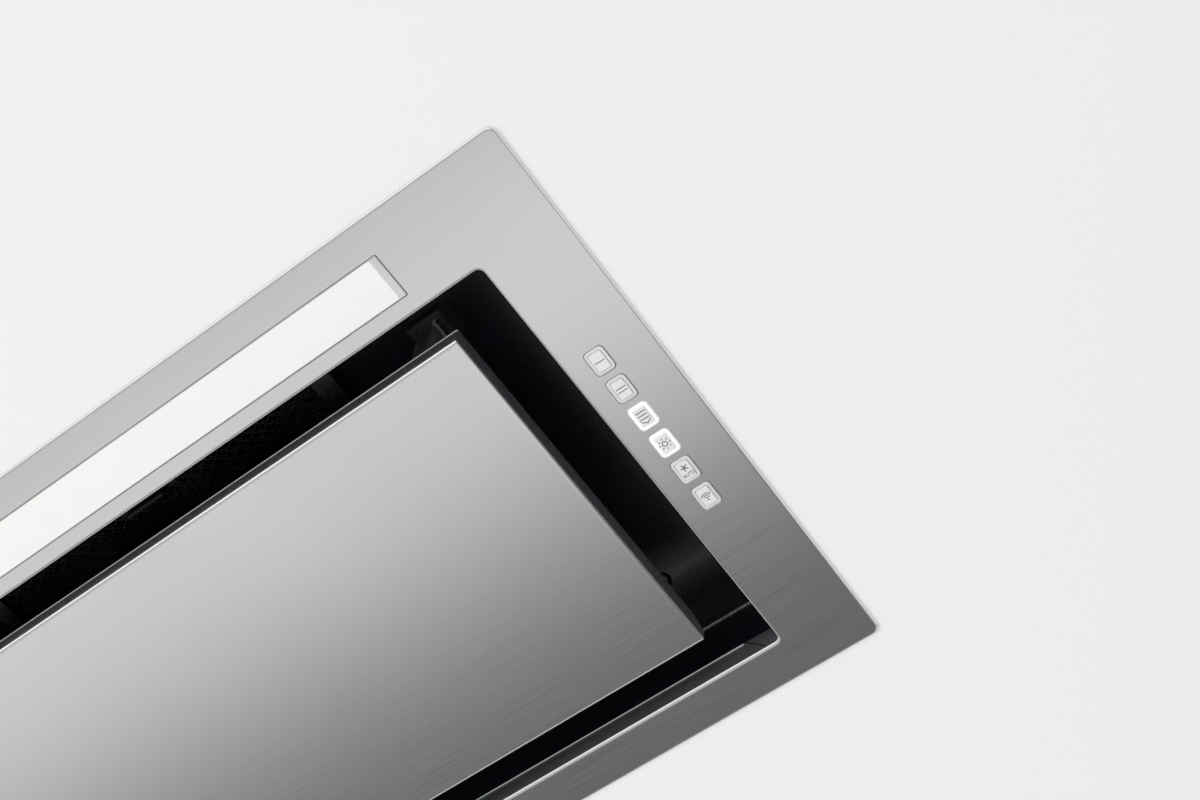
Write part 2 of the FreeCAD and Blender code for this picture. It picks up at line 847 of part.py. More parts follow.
# ---------------------------------------------------------------- grease filters
def filter_frame(side):
    x0 = filter_gap / 2
    x1 = x0 + filter_width
    body = clipped(x0, x1, -filter_y, filter_y, filter_bottom, ceiling_height, filter_corner)
    body = body.cut(box(x0 + filter_bar, x1 - filter_bar, -filter_y + filter_bar,
                        filter_y - filter_bar, filter_bottom, ceiling_height))
    middle = (x0 + x1) / 2
    rail_x = latch_width / 2 + fit_gap
    rail_y = -filter_y + latch_length - latch_rail_short
    shelf_top = latch_bottom - fit_gap
    shelf_bottom = shelf_top - filter_sheet
    pieces = [body, box(middle - rail_x - latch_rail_sheet, middle + rail_x + latch_rail_sheet,
                        -filter_y + filter_sheet, rail_y, filter_bottom,
                        filter_bottom + filter_sheet)]
    for sign in (-1, 1):
        near = middle + sign * rail_x
        far = near + sign * latch_rail_sheet
        lip = near - sign * latch_rail_lip
        pieces.append(box(min(near, far), max(near, far), -filter_y, rail_y, shelf_bottom,
                          filter_bottom))
        pieces.append(box(min(lip, far), max(lip, far), -filter_y, rail_y, shelf_bottom,
                          shelf_top))
    frame = fuse(pieces).cut(filter_core())
    return frame if side > 0 else mirror_x(frame)


def filter_core():
    x0 = filter_gap / 2 + filter_sheet
    x1 = filter_gap / 2 + filter_width - filter_sheet
    y = filter_y - filter_sheet
    return clipped(x0, x1, -y, y, filter_bottom + filter_sheet, ceiling_height - filter_sheet,
                   filter_corner)


def filter_mesh(side):
    core = filter_core()
    return core if side > 0 else mirror_x(core)


def filter_latch(side):
    """Sprung slide with a finger pull; its tongue lies on the keeper."""
    middle = (filter_gap + filter_width) / 2
    y0 = -filter_y + latch_start
    y1 = y0 + latch_length
    half = latch_width / 2
    pull = half - latch_pull_inset
    tongue = latch_tongue / 2
    pieces = [box(middle - half, middle + half, y0, y1, latch_bottom, latch_top),
              box(middle - tongue, middle + tongue, -filter_y - latch_reach, y0, latch_bottom,
                  latch_top),
              box(middle - pull, middle + pull, y1 - latch_pull_sheet, y1,
                  latch_bottom - latch_pull, latch_bottom)]
    body = fuse(pieces)
    return body if side > 0 else mirror_x(body)


def filter_rail():
    """Angle along the back of the recess that carries the rear edge of both cassettes."""
    x = filter_width + filter_gap / 2
    low = filter_bottom - rail_sheet
    web = box(-x, x, filter_y, filter_y + rail_sheet, low, ceiling_height)
    lip = box(-x, x, filter_y - rail_lip, filter_y, low, filter_bottom)
    foot = box(-x, x, filter_y, filter_y + rail_foot, ceiling_height - rail_sheet,
               ceiling_height)
    return fuse([web, lip, foot])


def filter_keeper():
    """Angle along the front of the recess on which the latch tongues lie."""
    x = filter_width + filter_gap / 2
    y = -filter_y - latch_reach - keeper_gap
    lip_end = -filter_y - latch_reach + latch_travel - keeper_lip_gap
    high = latch_bottom - fit_gap
    low = high - rail_sheet
    web = box(-x, x, y - rail_sheet, y, low, ceiling_height)
    lip = box(-x, x, y, lip_end, low, high)
    foot = box(-x, x, y - rail_foot, y, ceiling_height - rail_sheet, ceiling_height)
    return fuse([web, lip, foot])


# ---------------------------------------------------------------- motor casing
def casing_block(grow, z0, z1):
    return box(-casing_x - grow, casing_x + grow, casing_front - grow, casing_back + grow,
               z0, z1)


def motor_casing():
    body = fuse([casing_block(0, canopy_top, lid_bottom),
                 casing_block(casing_flange, canopy_top, canopy_top + casing_sheet)])
    cuts = [casing_block(-casing_sheet, canopy_top, lid_bottom),
            lead_window(casing_x - casing_sheet, casing_sheet)]
    for x, y in casing_screw_places():
        cuts.append(shank(Vector(x, y, canopy_top), casing_sheet))
    return body.cut(cuts + lid_screw_holes(0))


def lid_screw_places(out):
    """Start and direction of each lid screw, at a distance outside the casing."""
    places = []
    z = lid_bottom - lid_screw_drop
    for x in (-lid_screw_x, lid_screw_x):
        places.append((Vector(x, casing_front - out, z), Y))
        places.append((Vector(x, casing_back + out, z), Y * -1))
    return places


def lid_screw_holes(out):
    return [shank(start, casing_sheet, inward) for start, inward in lid_screw_places(out)]


def collar_screw_places():
    return [(x, outlet_y + y) for x in (-collar_screw, collar_screw)
            for y in (-collar_screw, collar_screw)]


def casing_lid():
    skirt = lid_bottom - lid_skirt
    plate = casing_block(lid_play + casing_sheet, skirt, lid_top)
    cuts = [casing_block(lid_play, skirt, lid_bottom),
            cylinder(collar_bore, Vector(0, outlet_y, lid_bottom), casing_sheet)]
    for x, y in collar_screw_places():
        cuts.append(shank(Vector(x, y, lid_bottom), casing_sheet))
    return plate.cut(cuts + lid_screw_holes(lid_play + casing_sheet))


def sheet_screws():
    """Identical self-tapping screws of casing, lid, collar and LED driver."""
    screws = [hex_screw(Vector(x, y, canopy_top + casing_sheet), Z * -1,
                        casing_sheet + canopy_sheet)
              for x, y in casing_screw_places()]
    for x, y in driver_screw_places():
        screws.append(hex_screw(Vector(x, y, canopy_top + driver_ear_sheet), Z * -1,
                                driver_ear_sheet + canopy_sheet))
    for x, y in collar_screw_places():
        screws.append(hex_screw(Vector(x, y, lid_top + collar_flange_height), Z * -1,
                                collar_flange_height + casing_sheet + scroll_sheet))
    for start, inward in lid_screw_places(lid_play + casing_sheet):
        screws.append(hex_screw(start, inward, 2 * casing_sheet + lid_play + screw_point))
    return screws


# ---------------------------------------------------------------- blower
def scroll_block(grow, x0, x1):
    """Spiral and mouth of the scroll as one block between two planes across X.

    The spiral is drawn from four centres at the corners of a small square, each quarter turn
    with a radius one step larger than the last. It starts at the tongue, under the front
    side of the mouth, and runs into the back side of the mouth."""
    step = scroll_step

    def at(centre, radius, angle):
        turn = math.radians(angle)
        return Vector(x0, axis_y + centre[0] + radius * math.cos(turn),
                      axis_z + centre[1] + radius * math.sin(turn))

    share = (scroll_base * math.cos(tongue_turn) - grow) / (scroll_base + grow)
    tongue = math.degrees(math.acos(share))
    quarters = [((-step / 2, step / 2), tongue, 90), ((-step / 2, -step / 2), 90, 180),
                ((step / 2, -step / 2), 180, 270), ((step / 2, step / 2), 270, 360)]
    edges = []
    for number, (centre, start, end) in enumerate(quarters):
        radius = scroll_base + number * step + grow
        edges.append(Part.Arc(at(centre, radius, start), at(centre, radius, (start + end) / 2),
                              at(centre, radius, end)).toShape())
    corners = [edges[-1].valueAt(edges[-1].LastParameter),
               Vector(x0, mouth_back + grow, mouth_z),
               Vector(x0, mouth_front - grow, mouth_z),
               edges[0].valueAt(edges[0].FirstParameter)]
    for start, end in zip(corners, corners[1:]):
        edges.append(Part.LineSegment(start, end).toShape())
    return Part.Face(Part.Wire(edges)).extrude(Vector(x1 - x0, 0, 0))


def scroll_left():
    eye = cylinder(inlet_radius, Vector(-scroll_outside, axis_y, axis_z), scroll_sheet, X)
    body = scroll_block(scroll_sheet, -scroll_outside, 0)
    return body.cut([scroll_block(0, -scroll_inside, 0), eye])


def scroll_right():
    """The left half's mirror image, with the holes for the motor's mounts."""
    holes = [shank(Vector(scroll_inside, y, z), scroll_sheet, X) for y, z in mount_places()]
    return mirror_x(scroll_left()).cut(holes)


def outlet_duct():
    """Square chamber between the scroll's oblong mouth and the outlet."""
    def block(half, z0, z1):
        return box(-half, half, outlet_y - half, outlet_y + half, z0, z1)

    body = fuse([block(outlet_radius, mouth_z, lid_bottom),
                 block(collar_half, lid_bottom - scroll_sheet, lid_bottom)])
    cuts = [block(collar_bore, mouth_z + scroll_sheet, lid_bottom),
            box(-scroll_inside, scroll_inside, mouth_front, mouth_back, mouth_z,
                mouth_z + scroll_sheet)]
    for x, y in collar_screw_places():
        cuts.append(shank(Vector(x, y, lid_bottom - scroll_sheet), scroll_sheet))
    return body.cut(cuts)


def blade():
    """One forward curved blade, standing across the impeller."""
    half = impeller_width / 2 - ring_width
    turn = math.radians(blade_twist)
    start = Vector(-half, blade_inner_radius, 0)
    end = Vector(-half, impeller_radius * math.cos(turn), impeller_radius * math.sin(turn))
    along = (end - start).normalize()
    across = Vector(0, -along.z, along.y)
    middle = (start + end) * 0.5 - across * blade_bulge
    shift = across * blade_sheet
    outline = [start, middle, end, end + shift, middle + shift, start + shift]
    return prism(outline, Vector(2 * half, 0, 0))


def impeller():
    """Double inlet wheel: a disc on the shaft, blades on both sides of it and two end rings."""
    half = impeller_width / 2
    origin = Vector(0, 0, 0)
    first = blade()
    blades = []
    for k in range(blade_count):
        copy = first.copy()
        copy.rotate(origin, X, 360.0 * k / blade_count)
        blades.append(copy)
    outer = impeller_radius + ring_overlap
    inner = blade_inner_radius - ring_overlap
    pieces = [cylinder(blade_inner_radius + ring_overlap, Vector(-disc_sheet / 2, 0, 0),
                       disc_sheet, X),
              hexagon(2 * hub_radius, Vector(-hub_radius, 0, 0), hub_radius + hub_end, X)]
    for x in (-half, half - ring_width):
        pieces.append(tube(outer, inner, Vector(x, 0, 0), ring_width, X))
    body = fuse(pieces + blades)
    body = body.cut(cylinder(shaft_radius, Vector(-hub_radius, 0, 0), hub_radius + hub_end, X))
    body.translate(Vector(0, axis_y, axis_z))
    return body


def motor_shaft():
    start = -hub_radius - shaft_tip
    return cylinder(shaft_radius, Vector(start, axis_y, axis_z),
                    motor_end - shaft_end_gap - start, X)


def motor_body():
    """Closed motor can; its two bearings are inside, and its bore has their size."""
    start = Vector(motor_start, axis_y, axis_z)
    body = cylinder(motor_radius, start, motor_end - motor_start, X)
    bore = shaft_radius + shaft_clearance
    return body.cut(cylinder(bore, start, motor_end - shaft_end_gap + fit_gap - motor_start, X))


def mount_places():
    places = []
    for k in range(mount_count):
        turn = math.radians(90 + 360 / mount_count * k)
        places.append((axis_y + mount_circle * math.cos(turn),
                       axis_z + mount_circle * math.sin(turn)))
    return places


def motor_mounts():
    mounts = []
    for y, z in mount_places():
        start = Vector(scroll_outside, y, z)
        mounts.append(hexagon(2 * mount_radius, start, mount_height, X).cut(
            shank(start, mount_height, X)))
    return mounts


def motor_bracket():
    """Three-armed plate that carries the motor in the right-hand inlet."""
    pieces = [hexagon(bracket_flats, Vector(motor_end, 0, 0), bracket_sheet, X)]
    for k in range(mount_count):
        arm = clipped(-arm_width / 2, arm_width / 2, 0, mount_circle + arm_width / 2, 0,
                      bracket_sheet, arm_width / 4)
        arm.rotate(Vector(0, 0, 0), Vector(1, 1, 1), 120)
        arm.rotate(Vector(0, 0, 0), X, 360 / mount_count * k)
        arm.translate(Vector(motor_end, 0, 0))
        pieces.append(arm)
    body = fuse(pieces)
    body.translate(Vector(0, axis_y, axis_z))
    return body.cut([shank(Vector(motor_end, y, z), bracket_sheet, X)
                     for y, z in mount_places()])


def bracket_screws():
    length = bracket_sheet + mount_height + scroll_sheet
    return [hex_screw(Vector(motor_end + bracket_sheet, y, z), X * -1, length)
            for y, z in mount_places()]


# ---------------------------------------------------------------- outlet
def outlet_collar():
    """Collar on a square flange; two small blocks inside stop the closed flaps, and the
    flaps' pin snaps into two square holes."""
    base = Vector(0, outlet_y, lid_top)
    flange = box(-collar_half, collar_half, outlet_y - collar_half, outlet_y + collar_half,
                 lid_top, lid_top + collar_flange_height)
    body = fuse([flange, cylinder(outlet_radius, base, collar_height)])
    body = body.cut(cylinder(collar_bore, base, collar_height))
    stop_top = flap_z - flap_sheet / 2 - fit_gap
    inner = collar_bore - stop_reach
    outer = collar_bore + collar_wall / 2
    stops = [box(-stop_width / 2, stop_width / 2, outlet_y + min(a, b), outlet_y + max(a, b),
                 stop_top - stop_height, stop_top)
             for a, b in ((-outer, -inner), (inner, outer))]
    half = flap_pin_radius
    cuts = [box(-outlet_radius, outlet_radius, outlet_y - half, outlet_y + half, flap_z - half,
                flap_z + half)]
    for x, y in collar_screw_places():
        cuts.append(shank(Vector(x, y, lid_top), collar_flange_height))
    return fuse([body] + stops).cut(cuts)


def flap_pin():
    return cylinder(flap_pin_radius, Vector(-outlet_radius, outlet_y, flap_z),
                    2 * outlet_radius, X)


def flap(side):
    """Half-round flap with its knuckle on the cross pin; side is -1 at the front."""
    radius = collar_bore - flap_edge_gap
    low = flap_z - flap_sheet / 2
    high = flap_z + flap_sheet / 2
    disc = cylinder(radius, Vector(0, outlet_y, low), flap_sheet)
    near = outlet_y + side * flap_start
    far = outlet_y + side * (radius + flap_start)
    half = disc.common(box(-radius, radius, min(near, far), max(near, far), low, high))
    x0 = knuckle_start if side > 0 else -knuckle_start - knuckle_length
    start = Vector(x0, outlet_y, flap_z)
    knuckle = hexagon(2 * knuckle_radius, start, knuckle_length, X)
    web = box(x0, x0 + knuckle_length, min(outlet_y, near), max(outlet_y, near), low, high)
    bore = cylinder(flap_pin_radius + flap_pin_clearance, start, knuckle_length, X)
    return fuse([half, knuckle, web]).cut(bore)


# ---------------------------------------------------------------- electrics
def electronics_box():
    body = box(box_start, box_end, -box_y, box_y, canopy_top, box_top)
    cuts = [box(box_start + box_sheet, box_end - box_sheet, -box_y + box_sheet,
                box_y - box_sheet, box_floor, box_top),
            cylinder(gland_radius, Vector(box_end - box_sheet, gland_y, gland_z), box_sheet, X),
            lead_window(box_start, box_sheet)]
    for x, y in ceiling_screw_places():
        cuts.append(shank(Vector(x, y, canopy_top), box_sheet))
    return body.cut(cuts)


def electronics_cover():
    low = box_top - cover_skirt
    out = cover_play + box_sheet
    outer = box(box_start - out, box_end + out, -box_y - out, box_y + out, low,
                box_top + box_sheet)
    return outer.cut(box(box_start - cover_play, box_end + cover_play, -box_y - cover_play,
                         box_y + cover_play, low, box_top))


def main_board():
    """Board on four posts, with its relays, transformer and capacitor."""
    x0 = box_start + board_from_side
    x1 = box_end - board_from_side
    level = box_floor + board_from_floor
    top = level + board_thickness
    pieces = [box(x0, x1, board_front, board_back, level, top)]
    for x in (x0, x1 - board_post):
        for y in (board_front, board_back - board_post):
            pieces.append(box(x, x + board_post, y, y + board_post, box_floor, level))
    relay_x = x0 + board_post
    relay_y = board_front + board_post
    for k in range(relay_count):
        y = relay_y + k * relay_pitch
        pieces.append(box(relay_x, relay_x + relay_width, y, y + relay_depth, top,
                          top + relay_height))
    pieces.append(box(x1 - transformer_width, x1, relay_y, relay_y + transformer_depth, top,
                      top + transformer_height))
    pieces.append(cylinder(board_capacitor_radius,
                           Vector(x1 - 2 * board_capacitor_radius,
                                  board_back - board_capacitor_from_end, top),
                           board_capacitor_height))
    return fuse(pieces)


def terminal_block():
    x0 = box_start + terminal_inset
    x1 = x0 + terminal_width
    y0 = gland_y - terminal_depth / 2
    y1 = gland_y + terminal_depth / 2
    top = box_floor + terminal_height
    body = box(x0, x1, y0, y1, box_floor, top)
    cuts = [box(x0, x1, y0, y0 + terminal_step_depth, top - terminal_step, top)]
    half = terminal_pole / 2
    for k in range(terminal_count):
        x = (x0 + x1) / 2 + (k - (terminal_count - 1) / 2) * terminal_pitch
        cuts.append(box(x - half, x + half, gland_y, gland_y + terminal_pole,
                        top - terminal_height / 2, top))
    return body.cut(cuts)


def run_capacitor():
    """Moulded block capacitor, set upright on the box's floor."""
    x0 = box_start + capacitor_inset
    y0 = -box_y + capacitor_from_end
    return clipped(x0, x0 + capacitor_width, y0, y0 + capacitor_length, box_floor,
                   box_floor + capacitor_height, capacitor_edge)


def cable_gland():
    """Gland with its nut; the bore takes the supply cable."""
    wall = box_end - box_sheet
    start = wall - gland_nut
    pieces = [hexagon(gland_flats, Vector(start, gland_y, gland_z), gland_nut, X),
              cylinder(gland_radius, Vector(wall, gland_y, gland_z), box_sheet, X),
              hexagon(gland_flats, Vector(box_end, gland_y, gland_z), gland_length, X)]
    return fuse(pieces).cut(cylinder(gland_bore, Vector(start, gland_y, gland_z),
                                     box_end + gland_length - start, X))


def ceiling_screws():
    """Dark screws through the ceiling of the recess."""
    return [round_screw(Vector(x, y, ceiling_height), Z, canopy_sheet + screw_point,
                        ceiling_screw_head)
            for x, y in ceiling_screw_places()]


def lead_window(x, sheet):
    """Square window in a sheet that holds the motor lead."""
    return box(x, x + sheet, lead_y - lead_radius, lead_y + lead_radius, lead_z - lead_radius,
               lead_z + lead_radius)


def motor_lead():
    """Short lead from the casing to the electronics box."""
    start = Vector(casing_x - lead_end, lead_y, lead_z)
    return cylinder(lead_radius, start, box_start - casing_x + 2 * lead_end, X)


def main():
    os.makedirs("parts", exist_ok=True)
    save("trim_frame", trim_frame())
    save("frame_studs", *frame_studs())
    save("stud_nuts", *stud_nuts())
    save("canopy_box", canopy_box())
    save("side_clips", *side_clips())
    save("led_lens", led_lens())
    save("led_channel", led_channel())
    save("led_board", led_board())
    save("led_driver", led_driver())
    save("button_light_frames", *light_frames())
    save("button_carrier", button_carrier())
    save("control_board", control_board())
    save("tact_switches", *tact_switches())
    for number, y in enumerate(button_places(), 1):
        save("button_%d" % number, button_cap(y))
    save("panel_tray", panel_tray())
    save("panel_stiffeners", *panel_stiffeners())
    save("hinge_arms", hinge_arm(hinge_x), mirror_x(hinge_arm(hinge_x)))
    save("hinge_brackets", hinge_bracket(hinge_x), mirror_x(hinge_bracket(hinge_x)))
    save("hinge_pins", hinge_pin(hinge_x), mirror_x(hinge_pin(hinge_x)))
    save("catch_posts", catch_post(post_x), catch_post(-post_x))
    save("magnet_holders", magnet_holder(post_x), magnet_holder(-post_x))
    save("catch_magnets", catch_magnet(post_x), catch_magnet(-post_x))
    for name, side in (("left", -1), ("right", 1)):
        save("filter_frame_" + name, filter_frame(side))
        save("filter_mesh_" + name, filter_mesh(side))
        save("filter_latch_" + name, filter_latch(side))
    save("filter_rail", filter_rail())
    save("filter_keeper", filter_keeper())
    save("motor_casing", motor_casing())
    save("casing_lid", casing_lid())
    save("sheet_screws", *sheet_screws())
    save("scroll_left", scroll_left())
    save("scroll_right", scroll_right())
    save("outlet_duct", outlet_duct())
    save("impeller", impeller())
    save("motor_shaft", motor_shaft())
    save("motor_body", motor_body())
    save("motor_mounts", *motor_mounts())
    save("motor_bracket", motor_bracket())
    save("bracket_screws", *bracket_screws())
    save("outlet_collar", outlet_collar())
    save("flap_pin", flap_pin())
    save("flap_front", flap(-1))
    save("flap_back", flap(1))
    save("electronics_box", electronics_box())
    save("electronics_cover", electronics_cover())
    save("main_board", main_board())
    save("terminal_block", terminal_block())
    save("run_capacitor", run_capacitor())
    save("cable_gland", cable_gland())
    save("ceiling_screws", *ceiling_screws())
    save("motor_lead", motor_lead())


main()
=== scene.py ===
"""Dresses the built-in canopy hood: real finishes on the CAD frame, and fine pieces in place of
the plain solids of the sheet steel, the light, the buttons, the filters, the fan wheel, the cable
gland and the fasteners. Drawings are in millimetres until a piece is finished."""

import json
import math

import bmesh
import bpy
from mathutils import Matrix, Vector


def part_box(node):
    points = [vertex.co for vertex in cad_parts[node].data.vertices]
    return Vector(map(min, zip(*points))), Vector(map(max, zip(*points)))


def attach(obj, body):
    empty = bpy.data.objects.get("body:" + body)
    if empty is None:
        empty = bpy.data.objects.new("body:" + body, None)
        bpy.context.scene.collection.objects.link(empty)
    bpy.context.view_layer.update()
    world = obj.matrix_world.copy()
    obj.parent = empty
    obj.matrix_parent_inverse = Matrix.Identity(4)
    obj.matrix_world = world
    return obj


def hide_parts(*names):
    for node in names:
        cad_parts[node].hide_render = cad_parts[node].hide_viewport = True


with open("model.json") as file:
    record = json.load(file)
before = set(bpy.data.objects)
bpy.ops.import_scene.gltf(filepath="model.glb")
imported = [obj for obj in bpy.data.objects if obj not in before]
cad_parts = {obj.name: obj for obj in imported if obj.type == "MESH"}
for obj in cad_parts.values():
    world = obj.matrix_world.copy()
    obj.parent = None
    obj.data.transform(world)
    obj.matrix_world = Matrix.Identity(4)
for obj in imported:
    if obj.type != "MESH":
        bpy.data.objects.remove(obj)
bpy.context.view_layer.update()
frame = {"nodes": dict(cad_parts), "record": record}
nodes = frame["nodes"]
MM = 0.001


# ---- nodes of materials and shapes
def linear(hex_colour):
    """An sRGB hex colour as the linear colour that Blender's sockets take."""
    parts = [int(hex_colour[i:i + 2], 16) / 255 for i in (1, 3, 5)]
    return tuple(p / 12.92 if p <= 0.04045 else ((p + 0.055) / 1.055) ** 2.4 for p in parts) + (1,)


def add(tree, kind, inputs=None, **settings):
    """Adds a node. settings are its own properties. An input takes a value, the socket that feeds
    it, or a node, whose first live output then feeds it."""
    node = tree.nodes.new(kind)
    for name, value in settings.items():
        setattr(node, name, value)
    for key, value in (inputs or {}).items():
        if isinstance(value, bpy.types.Node):
            value = next(socket for socket in value.outputs if socket.enabled)
        if isinstance(value, bpy.types.NodeSocket):
            tree.links.new(value, node.inputs[key])
        else:
            node.inputs[key].default_value = value
    return node


def new_material(name):
    """An empty material, its tree and the piece's own coordinates, in metres."""
    material = bpy.data.materials.new(name)
    material.use_nodes = True
    tree = material.node_tree
    tree.nodes.clear()
    return material, tree, add(tree, "ShaderNodeTexCoord").outputs["Object"]


def finish(material, tree, shader):
    """Ends a material with a shader, or with a principled one that has these inputs."""
    if isinstance(shader, dict):
        shader = add(tree, "ShaderNodeBsdfPrincipled", shader)
    add(tree, "ShaderNodeOutputMaterial", {"Surface": shader})
    return material


def two_tone(tree, noise, low, high, dark, light):
    """A colour that wanders between two tones as a noise goes from low to high."""
    share = add(tree, "ShaderNodeMapRange", {"Value": noise, "From Min": low, "From Max": high})
    return add(tree, "ShaderNodeMix", {"Factor": share, "A": linear(dark), "B": linear(light)},
               data_type="RGBA")


def uneven(tree, noise, least, most):
    """Gloss or glow that follows a noise, which lies nearly all within 0.3 and 0.7."""
    return add(tree, "ShaderNodeMapRange", {"Value": noise, "From Min": 0.3, "From Max": 0.7,
                                            "To Min": least, "To Max": most})


# ---- metals
def brushed_steel(name, light, dark, roughness, line_mm, run_mm):
    """Stainless sheet with a fine belt-ground finish: straight lines along the hood that blur
    the reflections into soft bands. The real lines are about 0.1 mm apart, too fine for the
    picture, so they are drawn line_mm wide, and very faint, as they look from a metre away."""
    material, tree, place = new_material(name)
    lines = add(tree, "ShaderNodeMapping", {
        "Vector": place, "Scale": (1000 / run_mm, 1000 / line_mm, 1000 / line_mm)})
    grain = add(tree, "ShaderNodeTexNoise", {"Vector": lines, "Scale": 1.0, "Detail": 3.0,
                                             "Roughness": 0.6})
    # sheet is never quite even: clouds some 120 mm wide shift its tone a little
    cloud = add(tree, "ShaderNodeTexNoise", {"Vector": place, "Scale": 8.0, "Detail": 2.0})
    tone = add(tree, "ShaderNodeMath", {0: grain, 1: cloud}, operation="ADD")
    colour = two_tone(tree, tone, 0.7, 1.3, dark, light)
    rough = uneven(tree, grain, roughness - 0.015, roughness + 0.02)
    bump = add(tree, "ShaderNodeBump", {"Height": grain, "Strength": 0.02, "Distance": 0.0001})
    return finish(material, tree, {"Base Color": colour, "Metallic": 1.0, "Roughness": rough,
                                   "Normal": bump})


def galvanised_sheet():
    """Hot-dip galvanised steel: a matt grey coat in which zinc crystals 5 to 8 mm wide show as
    patches of slightly different grey."""
    material, tree, place = new_material("galvanised_steel_sheet")
    warp = add(tree, "ShaderNodeTexNoise", {"Vector": place, "Scale": 150.0, "Detail": 2.0})
    bent = add(tree, "ShaderNodeMix", {"Factor": 0.006, "A": place, "B": warp.outputs["Color"]},
               data_type="VECTOR")
    crystal = add(tree, "ShaderNodeTexVoronoi", {"Vector": bent, "Scale": 160.0})
    shade = add(tree, "ShaderNodeSeparateColor", {"Color": crystal.outputs["Color"]})
    colour = two_tone(tree, shade, 0, 1, "#b1b4b7", "#bcbfc1")
    rough = add(tree, "ShaderNodeMapRange", {"Value": shade, "To Min": 0.36, "To Max": 0.44})
    return finish(material, tree, {"Base Color": colour, "Metallic": 1.0, "Roughness": rough})


def plain_metal(name, light, dark, roughness, grain_mm):
    """Plated, rolled or extruded metal with a faint grain: bright, with slightly uneven gloss."""
    material, tree, place = new_material(name)
    grain = add(tree, "ShaderNodeTexNoise", {"Vector": place, "Scale": 1000 / grain_mm,
                                             "Detail": 4.0})
    colour = two_tone(tree, grain, 0.35, 0.65, dark, light)
    rough = uneven(tree, grain, roughness - 0.05, roughness + 0.07)
    return finish(material, tree, {"Base Color": colour, "Metallic": 1.0, "Roughness": rough})


# ---- paint and plastics
def moulded(name, light, dark, roughness, grain_mm, bump_mm, coat=0.0):
    """Paint or moulded plastic: one colour with a slight cloud, and a fine skin that breaks up
    its highlights, such as spark erosion texture on plastic or orange peel on powder coat."""
    material, tree, place = new_material(name)
    cloud = add(tree, "ShaderNodeTexNoise", {"Vector": place, "Scale": 25.0})
    skin = add(tree, "ShaderNodeTexNoise", {"Vector": place, "Scale": 1000 / grain_mm,
                                            "Detail": 2.0})
    bump = add(tree, "ShaderNodeBump", {"Height": skin, "Strength": 0.35,
                                        "Distance": bump_mm * MM})
    colour = two_tone(tree, cloud, 0.3, 0.7, dark, light)
    rough = uneven(tree, skin, roughness - 0.04, roughness + 0.05)
    return finish(material, tree, {"Base Color": colour, "Roughness": rough, "IOR": 1.5,
                                   "Coat Weight": coat, "Coat Roughness": 0.08, "Normal": bump})


def lit_plastic(name, colour, glow, strength, roughness):
    """Translucent plastic with light behind it: it shines a little unevenly."""
    material, tree, place = new_material(name)
    cloud = add(tree, "ShaderNodeTexNoise", {"Vector": place, "Scale": 60.0})
    shine = uneven(tree, cloud, strength * 0.97, strength)
    return finish(material, tree, {
        "Base Color": linear(colour), "Roughness": roughness, "IOR": 1.5,
        "Emission Color": linear(glow), "Emission Strength": shine})


def circuit_board():
    """Green solder mask over copper: tracks show as a slightly lighter grid."""
    material, tree, place = new_material("glass_epoxy_board_green_mask")
    tracks = add(tree, "ShaderNodeTexBrick", {
        "Vector": place, "Scale": 220.0, "Color1": linear("#1c5a34"), "Color2": linear("#174c2c"),
        "Mortar": linear("#2f7a48"), "Mortar Size": 0.03})
    return finish(material, tree, {"Base Color": tracks, "Roughness": 0.32, "IOR": 1.5})


STEEL = brushed_steel("brushed_stainless_steel", "#dadad8", "#d5d5d3", 0.25, 0.5, 60)
# on folded edges the lines run up and down and spread the reflections much wider; their colour is
# also a little darker and bluer than the flat sheet's, a painted reflection of the dark, cool
# surroundings that the upright faces mirror
FOLDED_STEEL = brushed_steel("brushed_stainless_folded_edge_painted_blue_reflection", "#d0d5da", "#cbd0d5", 0.42, 0.6, 6)
GALVANISED = galvanised_sheet()
ZINC = plain_metal("zinc_plated_steel", "#c9cccf", "#b2b6ba", 0.28, 2.0)
SPRING = plain_metal("blued_spring_steel", "#6d6f74", "#53555c", 0.33, 5.0)
ALUMINIUM = plain_metal("mill_finish_aluminium", "#d2d3d5", "#bfc1c4", 0.36, 3.0)
# the filter frames and the foil are aluminium, drawn dark grey: painted shade, for the shadow deep
# in the slots behind the panel
FILTER_FRAME_PAINTED_SHADE = plain_metal("grey_aluminium_painted_shade", "#5f6165", "#54565a", 0.3, 3.0)
FOIL_PAINTED_SHADE = plain_metal("dark_aluminium_foil_painted_shade", "#494b4f", "#3b3d41", 0.32, 1.5)
NICKEL = plain_metal("nickel_plated_magnet", "#b9b4aa", "#a39e94", 0.22, 2.0)
DARK_SCREW = plain_metal("black_zinc_screw", "#3d4044", "#2c2f33", 0.32, 1.0)
BLACK_PAINT = moulded("black_powder_coat", "#12171f", "#0d1219", 0.3, 1.2, 0.02, 0.4)
MOTOR_PAINT = moulded("black_motor_enamel", "#26282b", "#1f2124", 0.35, 1.5, 0.02, 0.3)
BLACK_PLASTIC = moulded("black_polypropylene", "#26272a", "#1e1f22", 0.48, 0.4, 0.03)
GREY_PLASTIC = moulded("grey_polypropylene", "#8d9094", "#818488", 0.46, 0.4, 0.03)
WHITE_PLASTIC = moulded("white_abs_satin", "#e4e4e0", "#dadad6", 0.42, 0.4, 0.02)
WHITE_BOARD = moulded("white_solder_mask", "#ecece8", "#e2e2de", 0.3, 0.6, 0.01)
RUBBER = moulded("black_rubber", "#202022", "#19191b", 0.62, 0.5, 0.03)
GREEN_BOARD = circuit_board()
CAP_PAINT = moulded("pearl_painted_abs_cap", "#ebebe9", "#e3e3e1", 0.32, 0.3, 0.006, 0.3)
